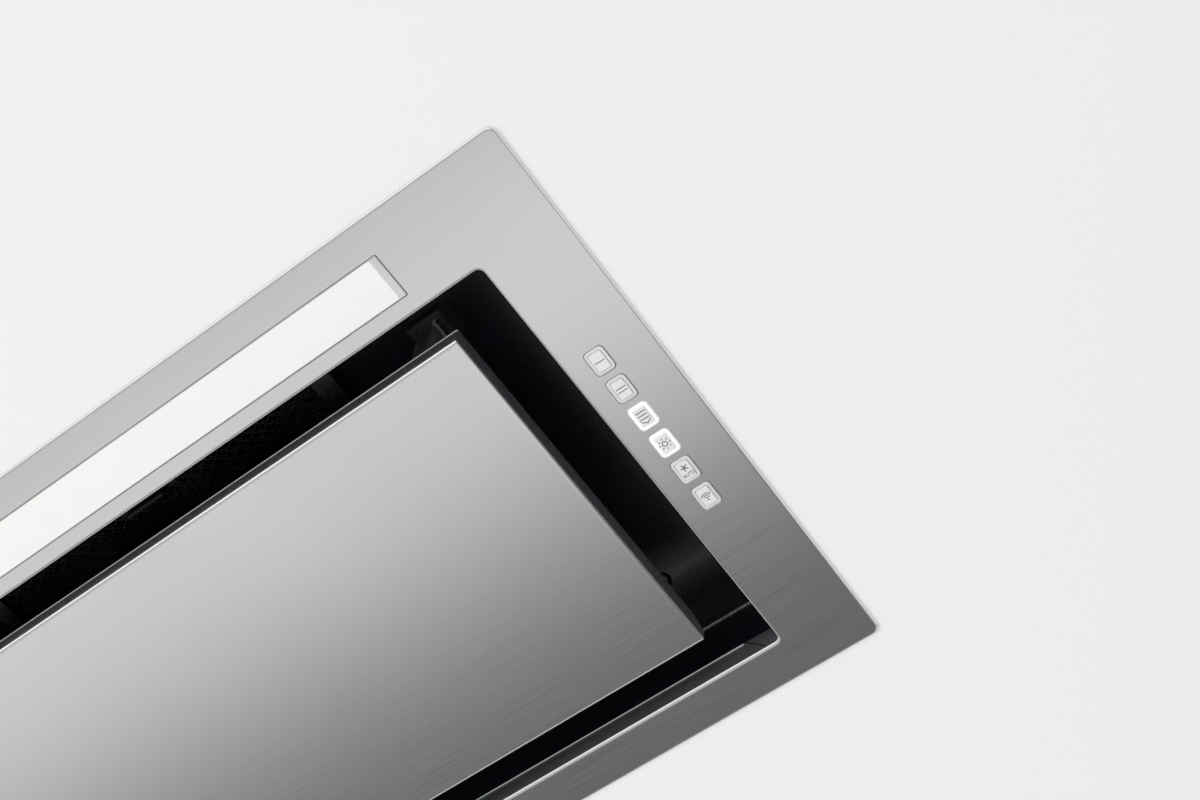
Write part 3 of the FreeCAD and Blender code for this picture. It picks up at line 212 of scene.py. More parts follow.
CAP_PRINT = moulded("grey_pad_print", "#5f6164", "#56585b", 0.5, 0.3, 0.002)
CLEAR_FRAME = moulded("frosted_polycarbonate", "#dcdddc", "#d2d3d2", 0.16, 0.8, 0.004, 0.9)
LIT_FRAME = lit_plastic("frosted_polycarbonate_lit", "#c4c6c8", "#fbfcff", 0.5, 0.2)
OPAL_WINDOW = lit_plastic("opal_acrylic_lit", "#b5b6b4", "#fbfbf8", 0.44, 0.3)
LENS_RIM = moulded("clear_acrylic_rim", "#cfd0ce", "#c5c6c5", 0.12, 1.0, 0.003, 1.0)

FINISH = {
    "stainless": STEEL, "galvanised": GALVANISED, "zinc": ZINC, "black_paint": BLACK_PAINT,
    "spring_steel": SPRING, "diffuser": OPAL_WINDOW, "aluminium": ALUMINIUM,
    "white_board": WHITE_BOARD, "white_plastic": WHITE_PLASTIC, "light_guide": CLEAR_FRAME,
    "black_plastic": BLACK_PLASTIC, "green_board": GREEN_BOARD, "magnet": NICKEL, "mesh": FOIL_PAINTED_SHADE,
    "grey_plastic": GREY_PLASTIC, "motor_paint": MOTOR_PAINT, "rubber": RUBBER,
    "dark_screw": DARK_SCREW, "silver_cap": CAP_PAINT}

for part in frame["record"]["subparts"]:
    skin = nodes[part["node"]].data.materials
    skin.clear()
    # the filter frames take the darkened aluminium, whose dark grey is painted shade
    skin.append(FILTER_FRAME_PAINTED_SHADE if part["node"].startswith("filter_frame")
                else FINISH[part["material_slot"]])


# ---- mesh tools
def loft(bm, rings, paint=0, close_start=True, close_end=True):
    """Joins rings of as many points each into a skin, and closes its ends."""
    rows = [[bm.verts.new(point) for point in ring] for ring in rings]
    count = len(rows[0])
    faces = [bm.faces.new((a[i], a[(i + 1) % count], b[(i + 1) % count], b[i]))
             for a, b in zip(rows, rows[1:]) for i in range(count)]
    if close_start:
        faces.append(bm.faces.new(rows[0][::-1]))
    if close_end:
        faces.append(bm.faces.new(rows[-1]))
    for face in faces:
        face.material_index = paint
    return rows


def fill(bm, loops, paint=0):
    """Fills the flat face between closed rows of verts, the outer one and its holes."""
    edges = []
    for loop in loops:
        for a, b in zip(loop, loop[1:] + loop[:1]):
            edges.append(bm.edges.get((a, b)) or bm.edges.new((a, b)))
    made = bmesh.ops.triangle_fill(bm, use_beauty=True, edges=edges)["geom"]
    for face in made:
        if isinstance(face, bmesh.types.BMFace):
            face.material_index = paint


def polar(radius, turn, z=0.0):
    return Vector((radius * math.cos(turn), radius * math.sin(turn), z))


def circle(radius, z, count=24):
    return [polar(radius, math.tau * i / count, z) for i in range(count)]


def rounded(half_x, half_y, radius, z, steps=5, centre=(0, 0)):
    """A rounded rectangle at height z."""
    points = []
    for corner, (sx, sy) in enumerate(((1, 1), (-1, 1), (-1, -1), (1, -1))):
        for i in range(steps + 1):
            turn = math.pi / 2 * (corner + i / steps)
            points.append(Vector((centre[0] + sx * (half_x - radius) + radius * math.cos(turn),
                                  centre[1] + sy * (half_y - radius) + radius * math.sin(turn),
                                  z)))
    return points


def hexagon(corner, turn):
    """How far out a hexagon is in a direction, by its radius to its corners."""
    off = (turn + math.pi / 6) % (math.pi / 3) - math.pi / 6
    return corner * math.cos(math.pi / 6) / math.cos(off)


def moved(points, offset):
    return [point + Vector(offset) for point in points]


def placed(name, data):
    """A new object at the origin of the scene."""
    thing = bpy.data.objects.new(name, data)
    bpy.context.scene.collection.objects.link(thing)
    return thing


def dressed(name, mesh, body, materials, stands_for, smooth=35):
    """Finishes a drawing in millimetres as a piece in metres that rides on its body."""
    mesh.transform(Matrix.Scale(MM, 4))
    for material in materials:
        mesh.materials.append(material)
    mesh.polygons.foreach_set("use_smooth", [True] * len(mesh.polygons))
    mesh.set_sharp_from_angle(angle=math.radians(smooth))
    thing = placed(name, mesh)
    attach(thing, body)
    if stands_for:
        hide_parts(*stands_for)


def as_is(name, bm):
    mesh = bpy.data.meshes.new(name)
    bm.to_mesh(mesh)
    bm.free()
    return mesh


def as_mesh(name, bm):
    """Closes a drawing's seams, turns its faces outwards and makes it a mesh."""
    bmesh.ops.remove_doubles(bm, verts=bm.verts, dist=0.0005)
    bmesh.ops.recalc_face_normals(bm, faces=bm.faces)
    return as_is(name, bm)


def paint_folds(mesh):
    """Gives the upright faces of folded sheet the second material, whose darker, bluer colour is a
    painted reflection.
    """
    for face in mesh.polygons:
        face.material_index = 1 if abs(face.normal.z) < 0.3 else 0


def piece(name, bm, body, materials, stands_for, smooth=35):
    dressed(name, as_mesh(name, bm), body, materials, stands_for, smooth)


def solids_of(node):
    """The points of each separate solid of a CAD node, in millimetres."""
    bm = bmesh.new()
    bm.from_mesh(nodes[node].data)
    bmesh.ops.remove_doubles(bm, verts=bm.verts, dist=1e-6)
    left, groups = set(bm.verts), []
    while left:
        stack, group = [left.pop()], []
        while stack:
            vert = stack.pop()
            group.append(vert.co / MM)
            for edge in vert.link_edges:
                other = edge.other_vert(vert)
                if other in left:
                    left.remove(other)
                    stack.append(other)
        groups.append(group)
    bm.free()
    return sorted(groups, key=lambda g: tuple(round(c) for c in box_of(g)[0]))


def box_of(points):
    """The lowest and the highest corner of some points."""
    low = Vector(min(p[i] for p in points) for i in range(3))
    high = Vector(max(p[i] for p in points) for i in range(3))
    return low, high


def node_box(node):
    """A CAD node's lowest and highest corner, in millimetres."""
    return tuple(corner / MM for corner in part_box(node))


def evaluated(thing):
    """The plain mesh that an object's modifiers give."""
    graph = bpy.context.evaluated_depsgraph_get()
    return bpy.data.meshes.new_from_object(thing.evaluated_get(graph), depsgraph=graph)


# ---- shapes that a rule repeats
def shape_tree(name, sockets):
    """An empty Geometry Nodes tree with named inputs for its sizes."""
    tree = bpy.data.node_groups.new(name, "GeometryNodeTree")
    for way in ("OUTPUT", "INPUT"):
        tree.interface.new_socket(name="Geometry", in_out=way, socket_type="NodeSocketGeometry")
    for label, kind in sockets:
        tree.interface.new_socket(name=label, in_out="INPUT", socket_type="NodeSocket" + kind)
    return tree, add(tree, "NodeGroupInput").outputs


def closed_tree(tree, given, *shapes):
    """Ends a tree: joins its shapes, makes instances real and gives them the named finish."""
    joined = add(tree, "GeometryNodeJoinGeometry")
    for shape in shapes:
        tree.links.new(shape, joined.inputs[0])
    real = add(tree, "GeometryNodeRealizeInstances", {"Geometry": joined})
    done = add(tree, "GeometryNodeSetMaterial", {"Geometry": real, "Material": given["Finish"]})
    add(tree, "NodeGroupOutput", {0: done})
    return tree


def grown(name, base, tree, values):
    """The plain mesh that a tree makes from a base mesh and values for its named inputs."""
    holder = placed(name, base)
    modifier = holder.modifiers.new(name, "NODES")
    modifier.node_group = tree
    for socket in tree.interface.items_tree:
        if socket.in_out == "INPUT" and socket.name in values:
            modifier[socket.identifier] = values[socket.name]
    mesh = evaluated(holder)
    mesh.name = name
    holder.modifiers.remove(modifier)
    bpy.data.objects.remove(holder)
    return mesh


def foil_tree():
    """Expanded foil: rows of zigzag strands, every other row turned over so that the bends of
    neighbours meet and leave diamond holes."""
    tree, given = shape_tree("expanded_foil", [
        ("Width", "Float"), ("Depth", "Float"), ("Half Cell", "Float"), ("Row Pitch", "Float"),
        ("Strand", "Float"), ("Foil", "Float"), ("Lift", "Float"), ("Finish", "Material")])
    index = add(tree, "GeometryNodeInputIndex")
    odd = add(tree, "ShaderNodeMath", {0: index, 1: 2.0}, operation="MODULO")

    def spaced(length, step, along):
        """Points on a line, a step apart, from minus half its length."""
        count = add(tree, "ShaderNodeMath", {0: given[length], 1: given[step]},
                    operation="DIVIDE")
        start = add(tree, "ShaderNodeMath", {0: given[length], 1: -0.5}, operation="MULTIPLY")
        return add(tree, "GeometryNodeMeshLine", {
            "Count": count, "Start Location": add(tree, "ShaderNodeCombineXYZ", {along: start}),
            "Offset": add(tree, "ShaderNodeCombineXYZ", {along: given[step]})})

    swing = add(tree, "ShaderNodeMath", {0: odd, 1: 0.5}, operation="SUBTRACT")
    aside = add(tree, "ShaderNodeMath", {0: swing, 1: given["Row Pitch"]}, operation="MULTIPLY")
    lift = add(tree, "ShaderNodeMath", {0: swing, 1: given["Lift"]}, operation="MULTIPLY")
    bent = add(tree, "GeometryNodeSetPosition", {
        "Geometry": spaced("Width", "Half Cell", "X"),
        "Offset": add(tree, "ShaderNodeCombineXYZ", {"Y": aside, "Z": lift})})
    wire = add(tree, "GeometryNodeMeshToCurve", {"Mesh": bent})
    section = add(tree, "GeometryNodeCurvePrimitiveQuadrilateral", {
        "Width": given["Strand"], "Height": given["Foil"]})
    strand = add(tree, "GeometryNodeCurveToMesh", {
        "Curve": add(tree, "GeometryNodeSetCurveNormal", {"Curve": wire}, mode="Z_UP"),
        "Profile Curve": section, "Fill Caps": True})
    over = add(tree, "ShaderNodeMath", {0: odd, 1: math.pi}, operation="MULTIPLY")
    copies = add(tree, "GeometryNodeInstanceOnPoints", {
        "Points": spaced("Depth", "Row Pitch", "Y"), "Instance": strand,
        "Rotation": add(tree, "ShaderNodeCombineXYZ", {"X": over})})
    return closed_tree(tree, given, copies.outputs[0])


def blade_tree():
    """Blades of a fan wheel: one curved blade, repeated round the X axis, joined to the rest."""
    tree, given = shape_tree("fan_wheel", [
        ("Blades", "Int"), ("Root", "Vector"), ("Belly", "Vector"), ("Tip", "Vector"),
        ("Span", "Float"), ("Sheet", "Float"), ("Finish", "Material")])
    curve = add(tree, "GeometryNodeCurveArc", {
        "Resolution": 7, "Start": given["Root"], "Middle": given["Belly"], "End": given["Tip"]},
        mode="POINTS")
    section = add(tree, "GeometryNodeCurvePrimitiveQuadrilateral", {
        "Width": given["Span"], "Height": given["Sheet"]})
    blade = add(tree, "GeometryNodeCurveToMesh", {
        "Curve": add(tree, "GeometryNodeSetCurveNormal", {"Curve": curve}, mode="Z_UP"),
        "Profile Curve": section, "Fill Caps": True})
    step = add(tree, "ShaderNodeMath", {0: math.tau, 1: given["Blades"]}, operation="DIVIDE")
    turn = add(tree, "ShaderNodeMath", {0: add(tree, "GeometryNodeInputIndex"), 1: step},
               operation="MULTIPLY")
    seats = add(tree, "GeometryNodeMeshLine", {"Count": given["Blades"], "Offset": (0, 0, 0)})
    copies = add(tree, "GeometryNodeInstanceOnPoints", {
        "Points": seats, "Instance": blade,
        "Rotation": add(tree, "ShaderNodeCombineXYZ", {"X": turn})})
    return closed_tree(tree, given, given["Geometry"], copies.outputs[0])


def fastener_tree():
    """Screws, studs and nuts: a head and a shank on each point, which carries the direction of
    its axis and the length of its shank."""
    tree, given = shape_tree("fasteners", [
        ("Head", "Object"), ("Shank", "Object"), ("Finish", "Material")])
    axis = add(tree, "GeometryNodeInputNamedAttribute", {"Name": "axis"}, data_type="FLOAT_VECTOR")
    reach = add(tree, "GeometryNodeInputNamedAttribute", {"Name": "reach"}, data_type="FLOAT")
    turn = add(tree, "FunctionNodeAlignRotationToVector", {"Vector": axis}, axis="Z")
    stretch = add(tree, "ShaderNodeCombineXYZ", {"X": 1.0, "Y": 1.0, "Z": reach})
    copies = []
    for label, scale in (("Head", (1, 1, 1)), ("Shank", stretch)):
        sample = add(tree, "GeometryNodeObjectInfo", {"Object": given[label]})
        copies.append(add(tree, "GeometryNodeInstanceOnPoints", {
            "Points": given["Geometry"], "Rotation": turn, "Scale": scale,
            "Instance": sample.outputs["Geometry"]}).outputs[0])
    return closed_tree(tree, given, *copies)


# ---- sheet steel
SHEET = 0.8  # of the trim frame
OPENING_X, OPENING_Y, OPENING_MIDDLE = 321, 112, 11.4
LENS_X, LENS_Y = 290, 10.8  # half of the cut-out for the light
UPSTAND_TOP = 10.85  # where its top edge starts to round
QUARTER = [math.radians(turn) for turn in (0, 22.5, 45, 67.5, 90)]


def folded(radius, z):
    """Inset and height of a quarter bend's points, from flat below to upright."""
    return [(radius - radius * math.sin(turn), z + radius - radius * math.cos(turn))
            for turn in QUARTER]


def ringed(bm, outline, half_x, half_y, corner, centre, steps):
    """A skin of rounded rectangles, each as far out and as high as a point of an outline."""
    return loft(bm, [rounded(half_x + out, half_y + out, corner + out, z, steps, centre)
                     for out, z in outline], 0, False, False)


def flange():
    """Flange with a bent rim outside, a folded upstand round the opening, and cut-outs for the
    light and the buttons. The CAD's square corners are drawn round."""
    underside, top = -2.0, -2.0 + SHEET
    rim, fold, bevel = 0.9, 1.2, 0.15
    high = node_box("trim_frame")[1]
    bm = bmesh.new()
    outline = [(1.6, underside)] + folded(rim, underside)
    outline += [(0, -0.1), (0.1, 0), (SHEET, 0), (SHEET, top)]
    outer = loft(bm, [rounded(high.x - inset, high.y - inset, max(4 - inset, 1.5), z, 6)
                      for inset, z in outline], 0, False, False)
    outline = [(2.0, underside)] + folded(fold, underside)
    outline += [(0, UPSTAND_TOP), (bevel, high.z), (SHEET - bevel, high.z),
                (SHEET, UPSTAND_TOP), (SHEET, top)]
    holes = [ringed(bm, outline, OPENING_X, OPENING_Y, 3, (0, OPENING_MIDDLE), 6)]
    low, high = node_box("led_lens")
    outline = [(0.2, underside), (0, underside + bevel), (0, top)]
    holes.append(ringed(bm, outline, LENS_X, LENS_Y, 0.7, (0, (low.y + high.y) / 2), 3))
    outline = [(0.15, underside), (0, underside + 0.12), (0, top)]
    for points in solids_of("button_light_frames"):
        low, high = box_of(points)
        centre, hidden = (low + high) / 2, 0.8
        holes.append(ringed(bm, outline, (high.x - low.x) / 2 - hidden,
                            (high.y - low.y) / 2 - hidden, 2.1, (centre.x, centre.y), 5))
    fill(bm, [outer[0]] + [hole[0] for hole in holes])
    fill(bm, [outer[-1]] + [hole[-1] for hole in holes])
    return as_mesh("trim_flange", bm)


def hem(back, end):
    """The rolled hem that stiffens the top of the back upstand."""
    profile = [(-1, 0), (-0.7, -0.7), (0, -1), (1.5, -1), (1.5, 1), (0, 1), (-0.7, 0.7)]
    bm = bmesh.new()
    loft(bm, [[Vector((x, back - 0.15 + a * size, 10.6 + b * size)) for a, b in profile]
              for x, size in ((-end, 0.15), (-end + 0.4, 0.3), (end - 0.4, 0.3), (end, 0.15))])
    return as_mesh("hem", bm)


def mitre_slits(back, end):
    """What is open between the back upstand and the corner pieces."""
    bm = bmesh.new()
    for side in (-1, 1):
        top_x, foot_x = side * end, side * (OPENING_X - 8.0)
        outline = [(top_x + side * 0.3, 11.5), (top_x + side * 1.0, 11.5),
                   (foot_x + side * 0.7, -0.2), (foot_x, -0.2)]
        loft(bm, [[Vector((x, y, z)) for x, z in outline] for y in (back - 1, back + 2)])
    return as_mesh("slits", bm)


def trim_frame():
    back, end = OPENING_MIDDLE + OPENING_Y, OPENING_X - 18.7
    holder = placed("trim_flange", flange())
    hem_mesh = hem(back, end)
    cutter = placed("slits", mitre_slits(back, end))
    cut = holder.modifiers.new("mitre", "BOOLEAN")
    cut.object, cut.operation, cut.solver = cutter, "DIFFERENCE", "EXACT"
    slit = evaluated(holder)
    holder.modifiers.remove(cut)
    for thing in (holder, cutter):
        bpy.data.objects.remove(thing)
    bm = bmesh.new()
    bm.from_mesh(slit)
    bm.from_mesh(hem_mesh)
    mesh = as_is("trim_frame_sheet", bm)
    mesh.materials.clear()
    paint_folds(mesh)
    dressed("trim_frame_sheet", mesh, "root", [STEEL, FOLDED_STEEL], ["trim_frame"],
            30)


def panel_sheet():
    """Folded tray of the suction panel, with tight bends and slanted cuts at the back ends of
    its side skirts."""
    low, high = node_box("panel_tray")
    half_x, back, front = high.x, high.y, low.y
    bend, sheet, cut, lip = 1.6, 1.0, 4.0, 0.3

    def ring(inset, z, corner, side=None):
        side = inset if side is None else side
        top_edge = z >= high.z - 0.6
        points = []
        for number, (sx, sy) in enumerate(((1, 1), (-1, 1), (-1, -1), (1, -1))):
            y_edge = back - inset if sy > 0 else front + inset
            centre = (sx * (half_x - side - corner), y_edge - sy * corner)
            turns = [math.pi / 2 * (number + i / 4) for i in range(5)]
            run = [(centre[0] + corner * math.cos(t), centre[1] + corner * math.sin(t),
                    cut if sy > 0 else 0) for t in turns]
            start = [(sx * (half_x - side), back - 2 * cut, 0)]
            stop = [(sx * (half_x - cut), y_edge, cut), (sx * (half_x - cut), y_edge, 0)]
            if number == 0:
                run = start + run + stop
            elif number == 1:
                run = stop[::-1] + run + start
            points += run
        return [Vector((x, y, z - (drop if top_edge else 0))) for x, y, drop in points]

    floor = low.z + sheet
    rings = [ring(2.4, low.z, 0.2)]
    rings += [ring(lip + inset, z, 0.25 + 0.75 * math.sin(turn))
              for (inset, z), turn in zip(folded(bend, low.z), QUARTER)]
    # the deburred top edge stands a little proud of the front and back skirts and catches the
    # light
    rings += [ring(lip, high.z - 0.55, 1.0), ring(0.05, high.z - 0.45, 1.0, lip),
              ring(0, high.z - 0.12, 1.0, lip), ring(0.12, high.z, 0.9, lip + 0.1),
              ring(sheet - 0.12, high.z, 0.4), ring(sheet, high.z - 0.12, 0.35),
              ring(sheet, floor + 0.6, 0.35), ring(sheet + 0.6, floor, 0.3)]
    bm = bmesh.new()
    loft(bm, rings)
    mesh = as_mesh("tray", bm)
    paint_folds(mesh)
    dressed("suction_panel_sheet", mesh, "panel", [STEEL, FOLDED_STEEL], ["panel_tray"],
            30)


def lap_edge():
    """The bare cut edge where the recess's back wall laps its ceiling: a thin light line across
    the dark slot."""
    high = node_box("canopy_box")[1]
    wall, edge, end = 1.0, 1.0, 1.5
    back, ceiling, half_x = high.y - wall, high.z - wall, high.x - wall - end
    # most of its width leans 20 degrees to the front, from where it takes its light
    profile = [(0, 0), (0, -edge), (-edge * 0.15, -edge), (-edge, -edge * 0.66), (-edge, 0)]
    bm = bmesh.new()
    loft(bm, [[Vector((x, back + a * size, ceiling + b * size)) for a, b in profile]
              for x, size in ((-half_x, 0.6), (-half_x + 0.4, 1.0), (half_x - 0.4, 1.0),
                              (half_x, 0.6))])
    piece("recess_lap_edge", bm, "root", [ZINC], [])


# ---- light strip
def lens():
    """Opal window in a clear rim, whose ends show as a grey band with a bright outer line."""
    low, high = node_box("led_lens")
    centre = ((low.x + high.x) / 2, (low.y + high.y) / 2)
    ledge, play, sunk = 1.0, 0.3, 0.45
    half_x, half_y = (high.x - low.x) / 2, (high.y - low.y) / 2
    face_x, face_y = half_x - ledge - play, half_y - ledge - play
    step = high.z - 1.4
    rim = [(half_x, half_y, 0.5, high.z), (half_x, half_y, 0.5, step),
           (face_x, face_y, 0.5, step), (face_x, face_y, 0.5, low.z + 0.25),
           (face_x - 0.15, face_y - 0.1, 0.4, low.z + 0.04),
           (face_x - 0.3, face_y - 0.2, 0.35, low.z), (face_x - 1.5, face_y - 0.3, 0.3, low.z),
           (face_x - 1.8, face_y - 0.35, 0.3, low.z + sunk),
           (face_x - 3.4, face_y - 0.4, 0.3, low.z + sunk)]
    window = [rim[-1], (face_x - 3.6, face_y - 0.45, 0.3, low.z + 0.05),
              (face_x - 3.9, face_y - 0.6, 0.3, low.z + 0.02)]
    bm = bmesh.new()
    loft(bm, [rounded(x, y, r, z, 2, centre) for x, y, r, z in rim], 0, True, False)
    loft(bm, [rounded(x, y, r, z, 2, centre) for x, y, r, z in window], 1, False, True)
    piece("led_lens_strip", bm, "root", [LENS_RIM, OPAL_WINDOW], ["led_lens"])


# ---- buttons
FRAME_LEDGE, FRAME_BAND, CAP_PLAY = 0.9, 1.7, 0.12


def button_frames():
    """Six frosted frames round the buttons; the third and the fourth are lit."""
    bm = bmesh.new()
    play = 0.15
    for number, points in enumerate(solids_of("button_light_frames"), 1):
        low, high = box_of(points)
        centre = ((low.x + high.x) / 2, (low.y + high.y) / 2)
        wide_x, wide_y = (high.x - low.x) / 2, (high.y - low.y) / 2
        half, ledge_z = wide_x - FRAME_LEDGE - play, high.z - 1.5
        inner = half - FRAME_BAND
        outline = [(wide_x, 1.9, high.z), (wide_x, 1.9, ledge_z), (half, 2.0, ledge_z),
                   (half, 2.0, low.z + 0.35), (half - 0.1, 1.9, low.z + 0.12),
                   (half - 0.35, 1.75, low.z), (inner + 0.55, 1.1, low.z),
                   (inner + 0.2, 0.8, low.z + 0.12), (inner + play, 0.7, low.z + 0.4),
                   (inner + play, 0.7, high.z)]
        rings = [rounded(x, x + wide_y - wide_x, r, z, 5, centre) for x, r, z in outline]
        loft(bm, rings + rings[:1], 1 if number in (3, 4) else 0, False, False)
    piece("button_clear_frames", bm, "root", [CLEAR_FRAME, LIT_FRAME], ["button_light_frames"],
          50)


def bar(bm, x0, y0, x1, y1, width, z0, z1):
    """A printed line with square ends, from one point to another."""
    along = Vector((x1 - x0, y1 - y0, 0)).normalized() * width / 2
    side = Vector((-along.y, along.x, 0))
    start, end = Vector((x0, y0, 0)), Vector((x1, y1, 0))
    ring = [start - along - side, end + along - side, end + along + side, start - along + side]
    loft(bm, [moved(ring, (0, 0, z0)), moved(ring, (0, 0, z1))], 1)


def arc(bm, x, y, radius, start, end, width, z0, z1, steps=14):
    """A printed arc, from one angle to another in degrees."""
    outline = []
    for r, order in ((radius + width / 2, range(steps + 1)),
                     (radius - width / 2, range(steps, -1, -1))):
        for i in order:
            turn = math.radians(start + (end - start) * i / steps)
            outline.append(Vector((x + r * math.cos(turn), y + r * math.sin(turn), 0)))
    rows = [[bm.verts.new(p + Vector((0, 0, z))) for p in outline] for z in (z0, z1)]
    count = len(outline)
    for i in range(steps):
        j, k = i, count - 1 - i
        for row in rows:
            bm.faces.new((row[j], row[j + 1], row[k - 1], row[k])).material_index = 1
    for i in range(count):
        a, b = rows
        bm.faces.new((a[i], a[(i + 1) % count], b[(i + 1) % count], b[i])).material_index = 1


def dot(bm, x, y, radius, z0, z1):
    loft(bm, [moved(circle(radius, z, 10), (x, y, 0)) for z in (z0, z1)], 1)


def word_auto(bm, x, y, z0, z1):
    """The word AUTO in strokes, 5.4 mm long; the tops of its letters point to the front."""
    strokes = {"A": [(0, 1, 0.5, 0), (0.5, 0, 1, 1), (0.25, 0.65, 0.75, 0.65)],
               "U": [(0, 0, 0, 1), (0, 1, 1, 1), (1, 1, 1, 0)],
               "T": [(0, 0, 1, 0), (0.5, 0, 0.5, 1)],
               "O": [(0, 0, 1, 0), (1, 0, 1, 1), (1, 1, 0, 1), (0, 1, 0, 0)]}
    for k, letter in enumerate("AUTO"):
        left = x - 2.6 + 1.4 * k
        for x0, y0, x1, y1 in strokes[letter]:
            bar(bm, left + x0, y + 1.5 * y0, left + x1, y + 1.5 * y1, 0.24, z0, z1)


def symbol(bm, number, x, y, z0, z1):
    """The generic sign on a cap: speeds, boost, light, automatic fan, radio link. Read with the
    front of the hood up, a sign's top points to -Y."""
    long, line = 4.4, 0.42
    if number <= 3:
        middle = y - (0.9 if number == 3 else 0)
        for k in range(number):
            row = middle + (k - (number - 1) / 2) * 1.75
            bar(bm, x - long / 2, row, x + long / 2, row, line, z0, z1)
    if number == 3:
        bar(bm, x - 2.1, y + 2.0, x, y + 3.3, line, z0, z1)
        bar(bm, x, y + 3.3, x + 2.1, y + 2.0, line, z0, z1)
    if number == 4:
        arc(bm, x, y, 1.2, 0, 180, line, z0, z1)
        arc(bm, x, y, 1.2, 180, 360, line, z0, z1)
        for k in range(8):
            turn = math.tau * k / 8
            dot(bm, x + 2.45 * math.cos(turn), y + 2.45 * math.sin(turn), 0.34, z0, z1)
    if number == 5:
        hub = y - 1.4
        for k in range(5):
            turn = math.tau * (k + 0.25) / 5
            bar(bm, x + 0.55 * math.cos(turn), hub + 0.55 * math.sin(turn),
                x + 1.6 * math.cos(turn + 0.35), hub + 1.6 * math.sin(turn + 0.35), 0.5, z0, z1)
        dot(bm, x, hub, 0.4, z0, z1)
        word_auto(bm, x, y + 1.5, z0, z1)
    if number == 6:
        for radius in (1.3, 2.3, 3.3):
            arc(bm, x, y + 1.7, radius, 225, 315, line, z0, z1, 10)
        dot(bm, x, y + 1.7, 0.45, z0, z1)


def button_cap(number):
    """Pearl cap with a softly rounded edge, its guide collar and the stem to its switch."""
    node = f"button_{number}"
    low, high = node_box(node)
    centre = ((low.x + high.x) / 2, (low.y + high.y) / 2)
    frame_low, frame_high = box_of(solids_of("button_light_frames")[number - 1])
    half_x, half_y = ((frame_high[i] - frame_low[i]) / 2 - FRAME_LEDGE - FRAME_BAND - CAP_PLAY
                      for i in (0, 1))
    shoulder = frame_high.z + 0.3
    collar_x, collar_y, collar_top = (high.x - low.x) / 2, (high.y - low.y) / 2, shoulder + 0.8
    outline = [(half_x - 0.5, half_y - 0.5, 0.4, low.z + 0.02),
               (half_x - 0.28, half_y - 0.28, 0.5, low.z),
               (half_x - 0.08, half_y - 0.08, 0.6, low.z + 0.1),
               (half_x, half_y, 0.6, low.z + 0.3), (half_x, half_y, 0.6, shoulder),
               (collar_x, collar_y, 0.3, shoulder), (collar_x, collar_y, 0.3, collar_top),
               (1.5, 1.5, 0.2, collar_top), (1.5, 1.5, 0.2, high.z - 0.2),
               (1.3, 1.3, 0.2, high.z)]
    bm = bmesh.new()
    loft(bm, [rounded(x, y, r, z, 4, centre) for x, y, r, z in outline])
    symbol(bm, number, centre[0], centre[1], low.z, low.z + 0.06)
    piece(f"button_cap_{number}", bm, node, [CAP_PAINT, CAP_PRINT], [node], 50)


# ---- filters and fan wheel
def filter_foil(side, tree):
    """Two layers of expanded aluminium foil in a cassette, laid half a cell apart. Real cells
    are about 3 mm long; they are drawn 8 mm long so that they show as a mesh. The foil's dark
    grey is painted shade, not the colour of the metal."""
    low, high = node_box(f"filter_mesh_{side}")
    bm = bmesh.new()
    for z, shift in ((low.z + 1.6, 0.0), (high.z - 1.8, 1.4)):
        layer = grown("layer", bpy.data.meshes.new("layer"), tree, {
            "Width": high.x - low.x - 3, "Depth": high.y - low.y - 4, "Half Cell": 4.0,
            "Row Pitch": 2.6, "Strand": 0.75, "Foil": 0.5, "Lift": 1.1, "Finish": FOIL_PAINTED_SHADE})
        layer.transform(Matrix.Translation((
            (low.x + high.x) / 2 + shift, (low.y + high.y) / 2 + shift, z)))
        bm.from_mesh(layer)
        bpy.data.meshes.remove(layer)
    name = f"filter_foil_{side}"
    dressed(name, as_is(name, bm), "root", [FOIL_PAINTED_SHADE], [f"filter_mesh_{side}"])


def fan_wheel():
    """Double-inlet wheel: rings, disc and hub turned round the axis, and 22 curved blades."""
    low, high = node_box("impeller")
    half, steps = (high.x - low.x) / 2, 66
    around = Matrix.Rotation(math.pi / 2, 4, "Y")
    rim = [(57.2, half), (70.4, half), (70.8, half - 0.4), (70.8, half - 2.6),
           (70.4, half - 3), (57.2, half - 3)]
    disc = [(4.0, 3.0), (9.0, 3.0), (10.5, 2.0), (12.0, 1.0), (58.8, 1.0), (58.8, -1.0),
            (13.0, -1.0), (12.0, -2.5), (11.2, -12.0), (4.0, -12.0)]
    bm = bmesh.new()
    for profile in ([(r, -x) for r, x in rim], rim, disc):
        rings = [[around @ p for p in circle(r, x, steps)] for r, x in profile]
        loft(bm, rings + rings[:1], 0, False, False)
    turn = math.radians(9)
    root = Vector((0, 58, 0))
    tip = Vector((0, 70 * math.cos(turn), 70 * math.sin(turn)))
    along = (tip - root).normalized()
    belly = (root + tip) / 2 - Vector((0, -along.z, along.y)) * 1.6
    mesh = grown("fan_wheel", as_mesh("wheel", bm), blade_tree(), {
        "Blades": 22, "Root": root, "Belly": belly, "Tip": tip, "Span": 2 * half - 5.6,
        "Sheet": 1.1, "Finish": GREY_PLASTIC})
    mesh.transform(Matrix.Translation((low + high) / 2))
    dressed("fan_wheel", mesh, "impeller", [], ["impeller"])


